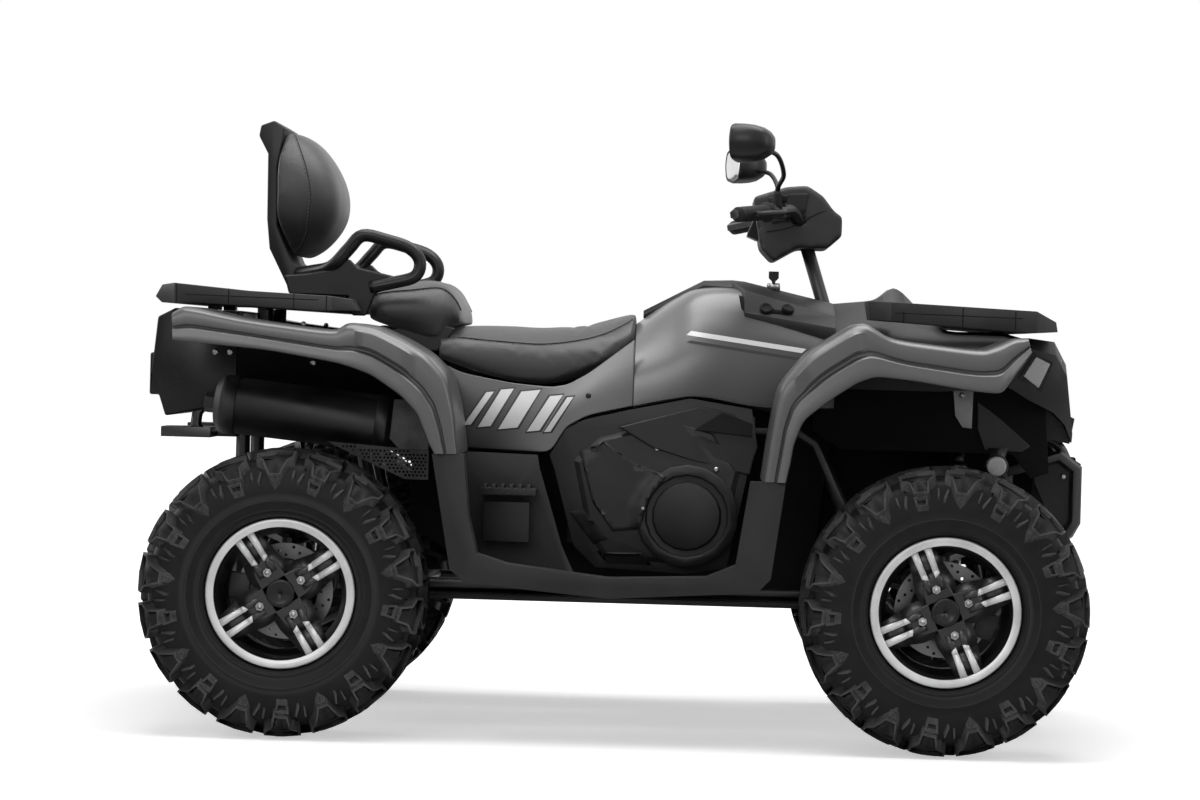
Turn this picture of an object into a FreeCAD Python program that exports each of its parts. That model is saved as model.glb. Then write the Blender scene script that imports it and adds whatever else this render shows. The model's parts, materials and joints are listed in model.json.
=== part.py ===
import FreeCAD, Part
import math
import os

import Sketcher

# A two-up quad bike, built as an assembly of separate pieces.
# Millimetres. X runs forward, Y to the rider's left, Z up.
# The origin is on the ground, under the middle of the bike.

doc = FreeCAD.newDocument("QuadBike")
Vector = FreeCAD.Vector

# Driving sizes. Each one can be changed by itself.
SIZES = [
    ("wheelbase", 1490),
    ("front_overhang", 337),
    ("rear_overhang", 356),
    ("half_width", 590),
    ("body_rise", 700),
    ("tyre_radius", 326),
    ("front_tyre_width", 203),
    ("rear_tyre_width", 254),
    ("front_tyre_inset", 8.5),
    ("rim_inset", 30),
    ("bead_radius", 152),
    ("flange_height", 17),
    ("flange_thickness", 10),
    ("lug_height", 22),
    ("rim_wall", 9),
    ("spoke_width", 15),
    ("spoke_gap", 13),
    ("spoke_thickness", 14),
    ("spoke_dish", 10),
    ("hub_plate_radius", 86),
    ("hub_radius", 42),
    ("disc_radius", 110),
    ("disc_thickness", 5),
    ("kingpin_inset", 190),
    ("ball_joint_radius", 17),
    ("ball_joint_height", 30),
    ("kingpin_half_height", 88),
    ("knuckle_thickness", 18),
    ("shaft_radius", 13),
    ("boot_radius", 30),
    ("steering_arm", 75),
    ("pitman_arm", 65),
    ("tie_rod_radius", 8),
    ("column_angle", 17.8),
    ("stem_radius", 16),
    ("frame_tube", 32),
    ("arm_tube", 25),
    ("rack_tube", 25),
    ("bar_tube", 22),
    ("grip_radius", 17),
    ("panel_thickness", 5),
    ("skid_thickness", 13),
    ("engine_width", 180),
    ("tow_bore", 20),
    ("tow_bar_thickness", 12),
    ("running_clearance", 6),
    ("seat_clearance", 0.3),
    ("overrun", 40),
]

sheet = doc.addObject("Spreadsheet::Sheet", "Sizes")
for row, (alias, value) in enumerate(SIZES, start=1):
    sheet.set("A%d" % row, str(value))
    sheet.setAlias("A%d" % row, alias)
doc.recompute()


def size(alias):
    """A driving size, read back from the sheet."""
    return float(sheet.get(alias))


wheelbase = size("wheelbase")
half_width = size("half_width")
body_rise = size("body_rise")
tyre_radius = size("tyre_radius")
overrun = size("overrun")
wall = size("panel_thickness")
seat_clearance = size("seat_clearance")
running_clearance = size("running_clearance")
running_fit = 2 * seat_clearance

# The origin lies midway between the foremost and the rearmost point.
mid_x = (size("rear_overhang") - size("front_overhang")) / 2
front_axle_x = mid_x + wheelbase / 2
rear_axle_x = mid_x - wheelbase / 2
front_end_x = front_axle_x + size("front_overhang")
rear_end_x = rear_axle_x - size("rear_overhang")
axle_z = tyre_radius
kingpin_y = half_width - size("kingpin_inset")
floor_z = axle_z - 0.02 * body_rise
rail_radius = size("frame_tube") / 2
arm_radius = size("arm_tube") / 2

FORWARD = Vector(1, 0, 0)
LEFT = Vector(0, 1, 0)
UP = Vector(0, 0, 1)
ORIGIN = Vector(0, 0, 0)
SIDES = (("left", 1), ("right", -1))

nodes = []

# Four corners count as flat when they lie this share of their span from one plane.
FLATNESS = 1e-7


# Places on the bike, as shares of the sizes that they follow

# Shares of the wheelbase, from its middle, at which a tyre's inner edge and the two ends of the bike lie
EDGE_SHARE = 0.2812
AXLE_SHARE = 0.5
FRONT_END_SHARE = 0.7262
REAR_END_SHARE = 0.7389


def fore(share):
    """X at a share of the wheelbase from its middle. Arches follow the tyres, and the ends the overhangs."""
    reach = abs(share)
    if reach <= EDGE_SHARE:
        along = (wheelbase / 2 - tyre_radius) * reach / EDGE_SHARE
    elif reach <= AXLE_SHARE:
        along = wheelbase / 2 - tyre_radius * (AXLE_SHARE - reach) / (AXLE_SHARE - EDGE_SHARE)
    elif share > 0:
        along = wheelbase / 2 + size("front_overhang") * (reach - AXLE_SHARE) / (FRONT_END_SHARE - AXLE_SHARE)
    else:
        along = wheelbase / 2 + size("rear_overhang") * (reach - AXLE_SHARE) / (REAR_END_SHARE - AXLE_SHARE)
    return mid_x + math.copysign(along, share)


def side(share):
    """Y at a share of half the overall width."""
    return half_width * share


def up(share):
    """Z at a share of the body's rise above the axles."""
    return axle_z + body_rise * share


def over(share):
    """Z at a share of the tyre's radius above the axles."""
    return axle_z + tyre_radius * share


def spot(x_share, y_share, z_share):
    return Vector(fore(x_share), side(y_share), up(z_share))


def keep(item, label):
    """Name a finished sub-part and list it for export."""
    item.Label = label
    nodes.append(item)
    return item


def feature(label, shape):
    """A sub-part whose form comes from the functions below."""
    item = doc.addObject("Part::Feature", label)
    item.Shape = shape
    return keep(item, label)


# Expressions for the sketches, in the sheet's own names

MIDDLE = "(Sizes.rear_overhang - Sizes.front_overhang) / 2"
UPWARD = "(Sizes.tyre_radius + Sizes.body_rise * %s)"


def fore_formula(share):
    """What fore() gives for a share between the axles, written for the sheet."""
    sign = "-" if share < 0 else "+"
    reach = abs(share)
    if reach <= EDGE_SHARE:
        return "(%s %s (Sizes.wheelbase / 2 - Sizes.tyre_radius) * %s / %s)" % (MIDDLE, sign, reach,
            EDGE_SHARE)
    arch = "Sizes.tyre_radius * (%s - %s) / (%s - %s)" % (AXLE_SHARE, reach, AXLE_SHARE, EDGE_SHARE)
    return "(%s %s (Sizes.wheelbase / 2 - %s))" % (MIDDLE, sign, arch)


def origin_plane(body, role):
    return [item for item in body.Origin.OriginFeatures if item.Role == role][0]


def side_sketch(body, name, shares):
    """A closed outline in the bike's side view. Each corner is tied to the sheet."""
    sketch = body.newObject("Sketcher::SketchObject", name)
    sketch.AttachmentSupport = [(origin_plane(body, "XZ_Plane"), "")]
    sketch.MapMode = "FlatFace"
    corners = [(fore(x), up(z)) for x, z in shares]
    count = len(corners)
    for index in range(count):
        start = corners[index]
        end = corners[(index + 1) % count]
        sketch.addGeometry(Part.LineSegment(Vector(start[0], start[1], 0), Vector(end[0], end[1], 0)))
    for index in range(count):
        sketch.addConstraint(Sketcher.Constraint("Coincident", index, 2, (index + 1) % count, 1))
    for index in range(count):
        formulas = (fore_formula(shares[index][0]), UPWARD % shares[index][1])
        for kind, formula, place in zip(("DistanceX", "DistanceY"), formulas, corners[index]):
            tie = sketch.addConstraint(Sketcher.Constraint(kind, -1, 1, index, 1, place))
            sketch.setExpression("Constraints[%d]" % tie, formula)
    return sketch


def side_pad(label, shares, width):
    """A body padded both ways from the middle plane out of a side outline. Width is an expression."""
    body = doc.addObject("PartDesign::Body", label)
    pad = body.newObject("PartDesign::Pad", label + "_pad")
    pad.Profile = side_sketch(body, label + "_outline", shares)
    pad.SideType = "Symmetric"
    pad.setExpression("Length", width)
    body.Tip = pad
    return keep(body, label)


# Forms that the shaped pieces share

def face_of(points):
    return Part.Face(Part.makePolygon(points + [points[0]]))


def solid_of(faces):
    """A solid from flat faces that meet edge to edge."""
    shell = Part.Compound(faces)
    shell.sewShape()
    solid = Part.Solid(Part.Shell(shell.Faces))
    if solid.Volume < 0:
        solid.reverse()
    return solid


def patch(a, b, c, d):
    """The flat face through four corners, or two triangles where they don't lie in one plane."""
    normal = (b - a).cross(c - a)
    flat = normal.Length > 0 and abs(normal.normalize().dot(d - a)) < FLATNESS * (c - a).Length
    if flat and (c - b).Length > 0 and (d - a).Length > 0:
        return [face_of([a, b, c, d])]
    halves = ([a, b, c], [a, c, d])
    return [face_of(half) for half in halves if (half[1] - half[0]).cross(half[2] - half[0]).Length > 0]


def skin(stations):
    """A faceted solid through closed outlines that have the same number of corners."""
    faces = [face_of(stations[0]), face_of(stations[-1])]
    for near, far in zip(stations[:-1], stations[1:]):
        count = len(near)
        for index in range(count):
            after = (index + 1) % count
            faces += patch(near[index], near[after], far[after], far[index])
    return solid_of(faces)


def mirrored(shape):
    return shape.mirror(ORIGIN, LEFT)


def pair(shape):
    """The piece and its twin on the other side."""
    return Part.Compound([shape, mirrored(shape)])


def joined(shapes):
    result = shapes[0].multiFuse(shapes[1:])
    return result.removeSplitter()


def circle_points(centre, axis, radius, facets):
    """The corners of a regular outline about an axis, at the radius."""
    reference = UP if abs(axis.normalize().dot(UP)) < 0.9 else FORWARD
    across = reference.cross(axis).normalize()
    upward = axis.cross(across).normalize()
    points = []
    for index in range(facets):
        angle = 2 * math.pi * (index + 0.5) / facets
        points.append(centre + across * (radius * math.cos(angle)) + upward * (radius * math.sin(angle)))
    return points


def lathe(start, axis, profile, facets):
    """A faceted turned form about an axis. The profile lists (distance along the axis, radius)."""
    line = Vector(axis).normalize()
    return skin([circle_points(start + line * along, Vector(line), radius, facets) for along,
        radius in profile])


def rod(start, end, radius, facets=6):
    """A straight faceted bar. The radius is measured to its flats."""
    line = end - start
    corner_radius = radius / math.cos(math.pi / facets)
    return lathe(start, line, [(0, corner_radius), (line.Length, corner_radius)], facets)


def rounded(points, bend):
    """The route with each corner cut by a short run, as long as the bend's radius asks."""
    route = [points[0]]
    for index in range(1, len(points) - 1):
        corner = points[index]
        before = points[index - 1] - corner
        after = points[index + 1] - corner
        half_turn = before.getAngle(after) / 2
        setback = min(bend / math.tan(half_turn), before.Length * 0.45, after.Length * 0.45)
        route.append(corner + Vector(before).normalize() * setback)
        route.append(corner + Vector(after).normalize() * setback)
    return route + [points[-1]]


def tube_run(points, radius, bend, facets=6):
    """A faceted tube with mitred corners along a route. The radius is measured to its flats."""
    route = rounded(points, bend)
    rings = [circle_points(route[0], route[1] - route[0], radius / math.cos(math.pi / facets), facets)]
    for index in range(1, len(route)):
        incoming = (route[index] - route[index - 1]).normalize()
        mitre = Vector(incoming)
        if index < len(route) - 1:
            mitre = (incoming + (route[index + 1] - route[index]).normalize()).normalize()
        ring = []
        for point in rings[-1]:
            travel = (route[index] - point).dot(mitre) / incoming.dot(mitre)
            ring.append(point + incoming * travel)
        rings.append(ring)
    return skin(rings)


def slab(low, high):
    """A box between two corners."""
    span = high - low
    return Part.makeBox(span.x, span.y, span.z, low)


def side_prism(shares, y_low, y_high):
    """A side outline in shares, run between two planes."""
    points = [Vector(fore(x), y_low, up(z)) for x, z in shares]
    return face_of(points).extrude(Vector(0, y_high - y_low, 0))


# Wheels: each turned form is a ring of flat facets, one for every half pitch of the tread

LUG_PITCHES = 18
FACETS = 2 * LUG_PITCHES


def ring_point(centre, offset, radius, step):
    """A point of a ring about the wheel's axle. Offset runs along Y."""
    angle = 2 * math.pi * step / FACETS
    return centre + Vector(radius * math.cos(angle), offset, radius * math.sin(angle))


def ring(centre, section):
    """A faceted ring from a closed section of (offset, radius) pairs."""
    faces = []
    for step in range(FACETS):
        for index in range(len(section)):
            a = section[index]
            b = section[(index + 1) % len(section)]
            faces.append(face_of([
                ring_point(centre, a[0], a[1], step),
                ring_point(centre, b[0], b[1], step),
                ring_point(centre, b[0], b[1], step + 1),
                ring_point(centre, a[0], a[1], step + 1),
            ]))
    return solid_of(faces)


def bead_offset(crown):
    """From the tyre's middle plane to the inner face of a rim flange."""
    return half_width - size("rim_inset") - size("flange_thickness") - crown


def tyre(centre, width, crown):
    """A lugged tyre: a faceted carcass with a shoulder lug or a knob on alternate facets."""
    half = width / 2
    bead = bead_offset(crown)
    seat = size("bead_radius")
    flange = seat + size("flange_height")
    depth = size("lug_height")
    carcass = tyre_radius - depth
    belly_share, shoulder_share, lug_share, knob_share = 0.36, 0.94, 0.58, 0.2
    belly = flange + belly_share * (carcass - flange)
    shoulder = carcass - depth / 2
    half_section = [
        (bead, seat),
        (bead, flange),
        (half, belly),
        (half * shoulder_share, shoulder),
        (half * lug_share, carcass),
        (half * knob_share, carcass),
    ]
    faces = []

    def quad(a, b, step):
        faces.append(face_of([
            ring_point(centre, a[0], a[1], step),
            ring_point(centre, b[0], b[1], step),
            ring_point(centre, b[0], b[1], step + 1),
            ring_point(centre, a[0], a[1], step + 1),
        ]))

    def rib(outline, low, step):
        """A raised block: its top follows the outline, and its ends close down to the low line."""
        for a, b in zip(outline[:-1], outline[1:]):
            quad(a, b, step)
        border = outline + low
        for end in (step, step + 1):
            faces.append(face_of([ring_point(centre, offset, radius, end) for offset, radius in border]))

    for step in range(FACETS):
        for sign in (1, -1):
            line = [(sign * offset, radius) for offset, radius in half_section]
            quad(line[0], line[1], step)
            quad(line[1], line[2], step)
            quad(line[4], line[5], step)
            if step % 2 == (sign > 0):
                top = [line[2], (line[3][0], line[3][1] + depth), (line[4][0], tyre_radius), line[4]]
                rib(top, [line[3]], step)
            else:
                quad(line[2], line[3], step)
                quad(line[3], line[4], step)
        left = half_section[-1]
        right = (-left[0], left[1])
        if step % 2:
            rib([left, (left[0], tyre_radius), (right[0], tyre_radius), right], [], step)
        else:
            quad(left, right, step)
        quad((bead, seat), (-bead, seat), step)
    return solid_of(faces)


def drum(centre, low, high, radius, facets):
    """A faceted drum about the axle, between two offsets."""
    return rod(centre + LEFT * low, centre + LEFT * high, radius, facets)


def rim(centre, sign, crown, spoke_angle):
    """An alloy rim: barrel, ring, four twin-bar spokes, hub and brake disc in one casting line."""
    bead = bead_offset(crown)
    flange = size("flange_thickness")
    seat = size("bead_radius")
    lip = seat + size("flange_height")
    inner = seat - size("rim_wall")
    face = sign * (bead + flange)
    section = [
        (face, lip),
        (face, inner),
        (-face, inner),
        (-face, seat),
        (sign * bead, seat),
        (sign * bead, lip),
    ]
    barrel = ring(centre, section)
    plate_high = sign * (bead + flange - size("spoke_dish"))
    plate_low = plate_high - sign * size("spoke_thickness")
    hub_low = sign * (hub_face_y() - crown)
    disc_low = hub_low + sign * size("disc_thickness")
    disc_high = disc_low + sign * size("disc_thickness")
    pieces = [
        barrel,
        drum(centre, plate_low, plate_high, size("hub_plate_radius"), 12),
        drum(centre, hub_low, plate_low, size("hub_radius"), 8),
        drum(centre, disc_low, disc_high, size("disc_radius"), 12),
    ]
    reach = seat - size("rim_wall") / 2
    spoke_root = size("hub_plate_radius") * 0.85
    bar = size("spoke_width")
    gap = size("spoke_gap")
    low, high = sorted((plate_low, plate_high))
    for quarter in range(4):
        for offset in (gap / 2, -gap / 2 - bar):
            block = Part.makeBox(reach - spoke_root, high - low, bar, Vector(spoke_root, low, offset))
            block.rotate(ORIGIN, LEFT, -spoke_angle - quarter * 90)
            block.translate(centre)
            pieces.append(block)
    recess_low, recess_high = sorted((plate_high - sign * size("spoke_thickness") / 2,
        plate_high + sign * overrun))
    recess = Part.makeCylinder(size("shaft_radius"), recess_high - recess_low, centre + LEFT * recess_low,
        LEFT)
    return joined(pieces).cut(recess)


def hub_face_y():
    """Y of the face where a wheel's hub meets its knuckle."""
    return kingpin_y + size("boot_radius") + running_clearance + size("knuckle_thickness")


front_crown = half_width - size("front_tyre_inset") - size("front_tyre_width") / 2
rear_crown = half_width - size("rear_tyre_width") / 2

front_spoke_angle = 23.5
rear_spoke_angle = 34.0


def build_wheels():
    places = (
        ("front", front_axle_x, size("front_tyre_width"), front_crown, front_spoke_angle),
        ("rear", rear_axle_x, size("rear_tyre_width"), rear_crown, rear_spoke_angle),
    )
    for end, x, width, crown, angle in places:
        for name, sign in SIDES:
            centre = Vector(x, sign * crown, axle_z)
            feature("tyre_%s_%s" % (end, name), tyre(centre, width, crown))
            feature("rim_%s_%s" % (end, name), rim(centre, sign, crown, angle))


# Chassis: the tubular frame, with the engine and final drives that it carries

column_angle = math.radians(size("column_angle"))
column_axis = Vector(-math.sin(column_angle), 0, math.cos(column_angle))
across_column = Vector(math.cos(column_angle), 0, math.sin(column_angle))
COLUMN_SETBACK_SHARE = 0.102
COLUMN_FOOT_SHARE = 0.0936
COLUMN_TOP_SHARE = 1.186
column_foot = Vector(front_axle_x - body_rise * COLUMN_SETBACK_SHARE, 0, up(COLUMN_FOOT_SHARE))
column_reach = body_rise * (COLUMN_TOP_SHARE - COLUMN_FOOT_SHARE) / math.cos(column_angle)
column_top = column_foot + column_axis * column_reach


def clear_bore(radius):
    """The radius of a bore that passes over a faceted bar of this radius, however the bar's facets lie."""
    return radius / math.cos(math.pi / 6) + seat_clearance


rail_y = side(0.22)
rail_z = floor_z + rail_radius
low_rail_z = axle_z - body_rise * 0.073
mid_rail_z = up(0.22)
upper_rail_z = up(0.55)
tower_z = up(0.53)
tower_y = side(0.3)
LOW_PIVOT_SHARE = 0.085
HIGH_PIVOT_SHARE = 0.11
SHOCK_SEAT_SHARE = 0.62
shock_lead = wheelbase * LOW_PIVOT_SHARE * (1 - SHOCK_SEAT_SHARE)
drive_radius = body_rise * 0.1
DRIVE_FACETS = 12


def build_frame():
    """Lower rails that dip under the axles, upper rails, cross tubes and the towers that hold the shocks."""
    bend = 3 * rail_radius
    routes = (
        [(-0.42, upper_rail_z), (-0.36, rail_z), (0.415, rail_z), (0.44, low_rail_z), (0.61, low_rail_z),
            (0.61, up(0.46))],
        [(-0.6, upper_rail_z), (0.3, upper_rail_z), (0.37, mid_rail_z), (0.61, mid_rail_z)],
        [(-0.6, upper_rail_z), (-0.6, low_rail_z), (-0.42, low_rail_z), (-0.37, rail_z), (-0.3, rail_z)],
        [(-0.6, mid_rail_z), (-0.39, mid_rail_z)],
    )
    tower_x = front_axle_x + shock_lead
    tower = rod(Vector(tower_x, rail_y, mid_rail_z), Vector(tower_x, rail_y, tower_z), rail_radius, 8)
    pieces = [tower, mirrored(tower)]
    for route in routes:
        run = tube_run([Vector(fore(x), rail_y, z) for x, z in route], rail_radius, bend, 8)
        pieces += [run, mirrored(run)]
    crossings = (
        (0.58, low_rail_z), (0.36, rail_z), (-0.3, rail_z), (-0.57, low_rail_z), (-0.57, upper_rail_z),
        (-0.06, rail_z), (0.12, rail_z), (-0.12, upper_rail_z), (0.22, upper_rail_z), (0.59, mid_rail_z),
            (0.5, mid_rail_z), (-0.5, mid_rail_z),
        (0.61, up(0.44)),
    )
    for share, height in crossings:
        pieces.append(rod(Vector(fore(share), -rail_y, height), Vector(fore(share), rail_y, height),
            rail_radius, 8))
    for x, height in ((tower_x, tower_z), (rear_axle_x + shock_lead, upper_rail_z)):
        pieces.append(rod(Vector(x, -tower_y, height), Vector(x, tower_y, height), rail_radius, 8))
    post = Vector(fore(-0.57), rail_y, upper_rail_z)
    post = rod(post, Vector(post.x, post.y, up(0.918)), rail_radius)
    pieces += [post, mirrored(post)]
    for x in (front_axle_x, rear_axle_x):
        drive_top = axle_z + drive_radius * math.cos(math.pi / DRIVE_FACETS) + seat_clearance
        pieces.append(rod(Vector(x, 0, drive_top), Vector(x, 0, mid_rail_z), arm_radius))
    bearing = column_foot + column_axis * ((mid_rail_z - column_foot.z) / column_axis.z)
    half_collar = column_axis * rail_radius
    pieces.append(rod(bearing - LEFT * rail_y, bearing + LEFT * rail_y, rail_radius, 8))
    pieces.append(rod(bearing - half_collar, bearing + half_collar, size("stem_radius") * 1.8, 12))
    start = bearing - half_collar * 3
    bore = Part.makeCylinder(size("stem_radius") + running_fit, rail_radius * 6, start, column_axis)
    feature("frame", joined(pieces).cut(bore))


def build_engine():
    side_pad("engine", [
        (-0.11, 0.0264), (0.17, 0.0264), (0.17, 0.24), (0.1, 0.34), (0.1, 0.5), (-0.02, 0.5), (-0.11, 0.34),
    ], "Sizes.engine_width")


def drive_case(centre_x):
    """A final drive: a round gear case with a shaft neck on each side."""
    radius = drive_radius
    neck = side(0.15)
    drum_half = side(0.1)
    taper = side(0.02)
    profile = [
        (0, radius * 0.5), (neck - drum_half, radius * 0.55), (neck - drum_half + taper, radius),
        (neck + drum_half - taper, radius), (neck + drum_half, radius * 0.55), (2 * neck, radius * 0.5),
    ]
    return lathe(Vector(centre_x, -neck, axle_z), LEFT, profile, DRIVE_FACETS)


def build_final_drives():
    feature("final_drives", Part.Compound([drive_case(front_axle_x), drive_case(rear_axle_x)]))


def build_half_shafts():
    """Four drive shafts with a rubber boot at each end."""
    shafts = []
    radius = size("shaft_radius")
    boot = size("boot_radius")
    inner_y = side(0.15) + seat_clearance
    for x in (front_axle_x, rear_axle_x):
        reach = kingpin_y - inner_y
        profile = [
            (0, boot), (boot * 0.5, boot), (boot * 2, radius * 1.3), (boot * 2, radius),
            (reach - boot * 2.2, radius), (reach - boot * 2.2, radius * 1.3),
                (reach - boot * 0.7, boot * 0.95),
            (reach, boot), (reach + boot * 0.7, boot * 0.7),
        ]
        shaft = lathe(Vector(x, inner_y, axle_z), LEFT, profile, 6)
        shafts += [shaft, mirrored(shaft)]
    feature("half_shafts", Part.Compound(shafts))


# Suspension: two arms a corner, with a shock absorber

spring_radius = body_rise * 0.038
shock_eye_radius = spring_radius * 0.45


def arm_pivot(axle_x, share, height):
    return Vector(axle_x + wheelbase * share, rail_y + rail_radius + arm_radius + seat_clearance, height)


def control_arm(axle_x, pivot_share, pivot_z, ball, aim):
    """An A-shaped arm: two tubes from the frame to one ball joint."""
    height = size("ball_joint_height")
    pieces = [rod(ball - UP * height / 2, ball + UP * height / 2, size("ball_joint_radius"), 8)]
    for share in (pivot_share, -pivot_share):
        pivot = arm_pivot(axle_x, share, pivot_z)
        pieces.append(rod(pivot, ball + UP * height * aim, arm_radius * 0.9, 6))
        pieces.append(rod(pivot - FORWARD * arm_radius * 2, pivot + FORWARD * arm_radius * 2, arm_radius, 6))
    return joined(pieces)


def ball_points(x):
    """The lower and the upper ball joint of one corner on the left."""
    half = size("kingpin_half_height") + size("ball_joint_height") / 2
    y = kingpin_y
    return Vector(x, y, axle_z - half), Vector(x, y, axle_z + half)


def shock_line(x, sign, tube_z):
    """Where a shock absorber starts on its lower arm, and where it ends under the frame's tube."""
    low_ball = ball_points(x)[0]
    pivot = arm_pivot(x, sign * LOW_PIVOT_SHARE, low_rail_z)
    seat = pivot + (low_ball - pivot) * SHOCK_SEAT_SHARE
    top = Vector(seat.x, side(0.27), tube_z - rail_radius - seat_clearance)
    tilt = (top - seat).getAngle(UP)
    top.z -= shock_eye_radius * math.sin(tilt)
    return seat, top


def corner_shocks():
    return ((front_axle_x, 1, tower_z), (rear_axle_x, 1, upper_rail_z))


def build_arms():
    for label, (x, sign, tube_z) in zip(("front_arms", "rear_arms"), corner_shocks()):
        low_ball, high_ball = ball_points(x)
        seat, top = shock_line(x, sign, tube_z)
        line = (top - seat).normalize()
        low = control_arm(x, LOW_PIVOT_SHARE, low_rail_z, low_ball, -0.2)
        boss = rod(seat, seat + line * (2 * arm_radius - seat_clearance), shock_eye_radius)
        low = joined([low, boss])
        high = control_arm(x, HIGH_PIVOT_SHARE, mid_rail_z, high_ball, 0.2)
        feature(label, Part.Compound([low, mirrored(low), high, mirrored(high)]))


def shock(bottom, top):
    """A shock absorber: rod, body and a spring with rounded turns."""
    line = top - bottom
    length = line.Length
    coils = 4
    start_share, end_share = 0.16, 0.86
    pitch = (end_share - start_share) * length / coils
    groove = spring_radius * 0.72
    profile = [(0, shock_eye_radius), (start_share * length, shock_eye_radius)]
    for turn in range(coils):
        along = start_share * length + turn * pitch
        profile.append((along, groove))
        profile.append((along + pitch / 2, spring_radius))
    profile.append((end_share * length, groove))
    profile.append((end_share * length, shock_eye_radius))
    profile.append((length, shock_eye_radius))
    return lathe(bottom, line, profile, 6)


def build_shocks():
    shocks = []
    for x, sign, tube_z in corner_shocks():
        seat, top = shock_line(x, sign, tube_z)
        bottom = seat + (top - seat).normalize() * (2 * arm_radius)
        left = shock(bottom, top)
        shocks += [left, mirrored(left)]
    feature("shock_absorbers", Part.Compound(shocks))


# Knuckles, rear hub carriers, steering and tie rods

def upright(x, with_arm):
    """A cast upright on the left: a plate outside the drive joint, two ears and a caliper."""
    half = size("kingpin_half_height")
    thick = size("knuckle_thickness")
    inner = kingpin_y + size("boot_radius") + running_clearance
    ear_width = size("ball_joint_radius") * 2
    ear = thick
    plate = slab(Vector(x - ear_width / 2, inner, axle_z - half),
        Vector(x + ear_width / 2, inner + thick, axle_z + half))
    pieces = [plate]
    pieces.append(rod(Vector(x, inner, axle_z), Vector(x, inner + thick, axle_z), size("hub_radius"), 12))
    ear_in = kingpin_y
    for low in (axle_z - half, axle_z + half - ear):
        pieces.append(slab(Vector(x - ear_width / 2, ear_in, low),
            Vector(x + ear_width / 2, inner + thick, low + ear)))
        pieces.append(Part.makeCylinder(size("ball_joint_radius"), ear, Vector(x, ear_in, low), UP))
    # The caliper straddles the brake disc, behind the axle at the rear and ahead of it at the front.
    tilt = -19 if with_arm else 175
    disc = size("disc_radius")
    grip = size("disc_thickness") * 2
    caliper = slab(Vector(disc * 0.72, inner, -disc * 0.27),
        Vector(disc * 1.14, inner + thick * 2.2, disc * 0.27))
    slot = slab(Vector(0, inner + thick, -disc),
        Vector(disc + running_clearance, inner + thick + grip * 1.4, disc))
    caliper = caliper.cut(slot)
    caliper.rotate(ORIGIN, LEFT, -tilt)
    caliper.translate(Vector(x, 0, axle_z))
    bracket = slab(Vector(0, inner, -disc * 0.16), Vector(disc * 0.8, inner + thick * 0.6, disc * 0.16))
    bracket.rotate(ORIGIN, LEFT, -tilt)
    bracket.translate(Vector(x, 0, axle_z))
    pieces += [caliper, bracket]
    if with_arm:
        arm_z = axle_z + half - ear
        pieces.append(slab(Vector(x - size("steering_arm") - ear_width / 4, kingpin_y - ear_width / 4, arm_z),
                           Vector(x, kingpin_y + ear_width / 4, arm_z + ear / 2)))
    return joined(pieces)


def build_uprights():
    front = upright(front_axle_x, True)
    feature("knuckle_left", front)
    feature("knuckle_right", mirrored(front))
    rear = upright(rear_axle_x, False)
    feature("rear_hub_carriers", pair(rear))


def pitman_pin(sign):
    return column_foot - across_column * size("pitman_arm") + LEFT * (sign * size("tie_rod_radius") * 2.3)


def build_steering():
    """The stem, with the plate at its foot that pulls the tie rods."""
    stem = Part.makeCylinder(size("stem_radius"), column_reach, column_foot, column_axis)
    thick = size("stem_radius") * 0.6
    eye = size("tie_rod_radius") * 2
    pieces = [stem]
    for name, sign in SIDES:
        pin = pitman_pin(sign)
        plate = face_of([
            column_foot + LEFT * size("stem_radius"),
            column_foot - LEFT * size("stem_radius"),
            pin - LEFT * eye - across_column * eye,
            pin + LEFT * eye - across_column * eye,
        ]).extrude(column_axis * thick)
        pieces.append(plate)
    feature("steering_stem", joined(pieces))


def build_tie_rods():
    radius = size("tie_rod_radius")
    ear = size("knuckle_thickness")
    arm_z = axle_z + size("kingpin_half_height") - ear
    for name, sign in SIDES:
        pin = pitman_pin(sign)
        eye_top = pin - column_axis * seat_clearance
        eye = Part.makeCylinder(radius * 1.8, radius * 2.5, eye_top, column_axis * -1)
        start = eye_top - column_axis * radius * 1.25
        end = Vector(front_axle_x - size("steering_arm"), sign * kingpin_y,
                     arm_z - 2 * running_clearance - 2 * radius)
        shank = rod(start, end, radius)
        ball = rod(end - UP * radius, end + UP * radius, radius * 1.8)
        feature("tie_rod_%s" % name, joined([eye, shank, ball]))


# Handlebar with its cover, grips, levers and mirrors

GRIP_LENGTH_SHARE = 0.22
BAR_PERCH_SHARE = 0.3
PERCH_LENGTH_SHARE = 0.12
perch_radius = size("bar_tube") * 0.8


def bar_spot(x_share, y_share, z_share):
    """A place on the handlebar's assembly. Its X is counted from the stem's top, in wheelbases."""
    return Vector(column_top.x + wheelbase * x_share, side(y_share), up(z_share))


def bar_points(sign):
    return [
        bar_spot(0.001, 0, 1.21),
        bar_spot(0.001, sign * 0.13, 1.21),
        bar_spot(-0.025, sign * 0.27, 1.295),
        bar_spot(-0.119, sign * 0.7, 1.259),
    ]


def bar_place(sign, share):
    """A point on the straight outer run of the bar, from its elbow to its tip."""
    elbow, tip = bar_points(sign)[2:]
    return elbow + (tip - elbow) * share


def bar_perch(sign, share):
    """The clamp that holds a lever and a mirror on the bar."""
    start = bar_place(sign, share)
    return rod(start, bar_place(sign, share + PERCH_LENGTH_SHARE), perch_radius, 8)


def build_handlebar():
    radius = size("bar_tube") / 2
    bend = radius * 3
    pieces = [tube_run(bar_points(sign), radius, bend) for name, sign in SIDES]
    feature("handlebar", joined(pieces + [bar_perch(sign, BAR_PERCH_SHARE) for name, sign in SIDES]))


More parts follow.
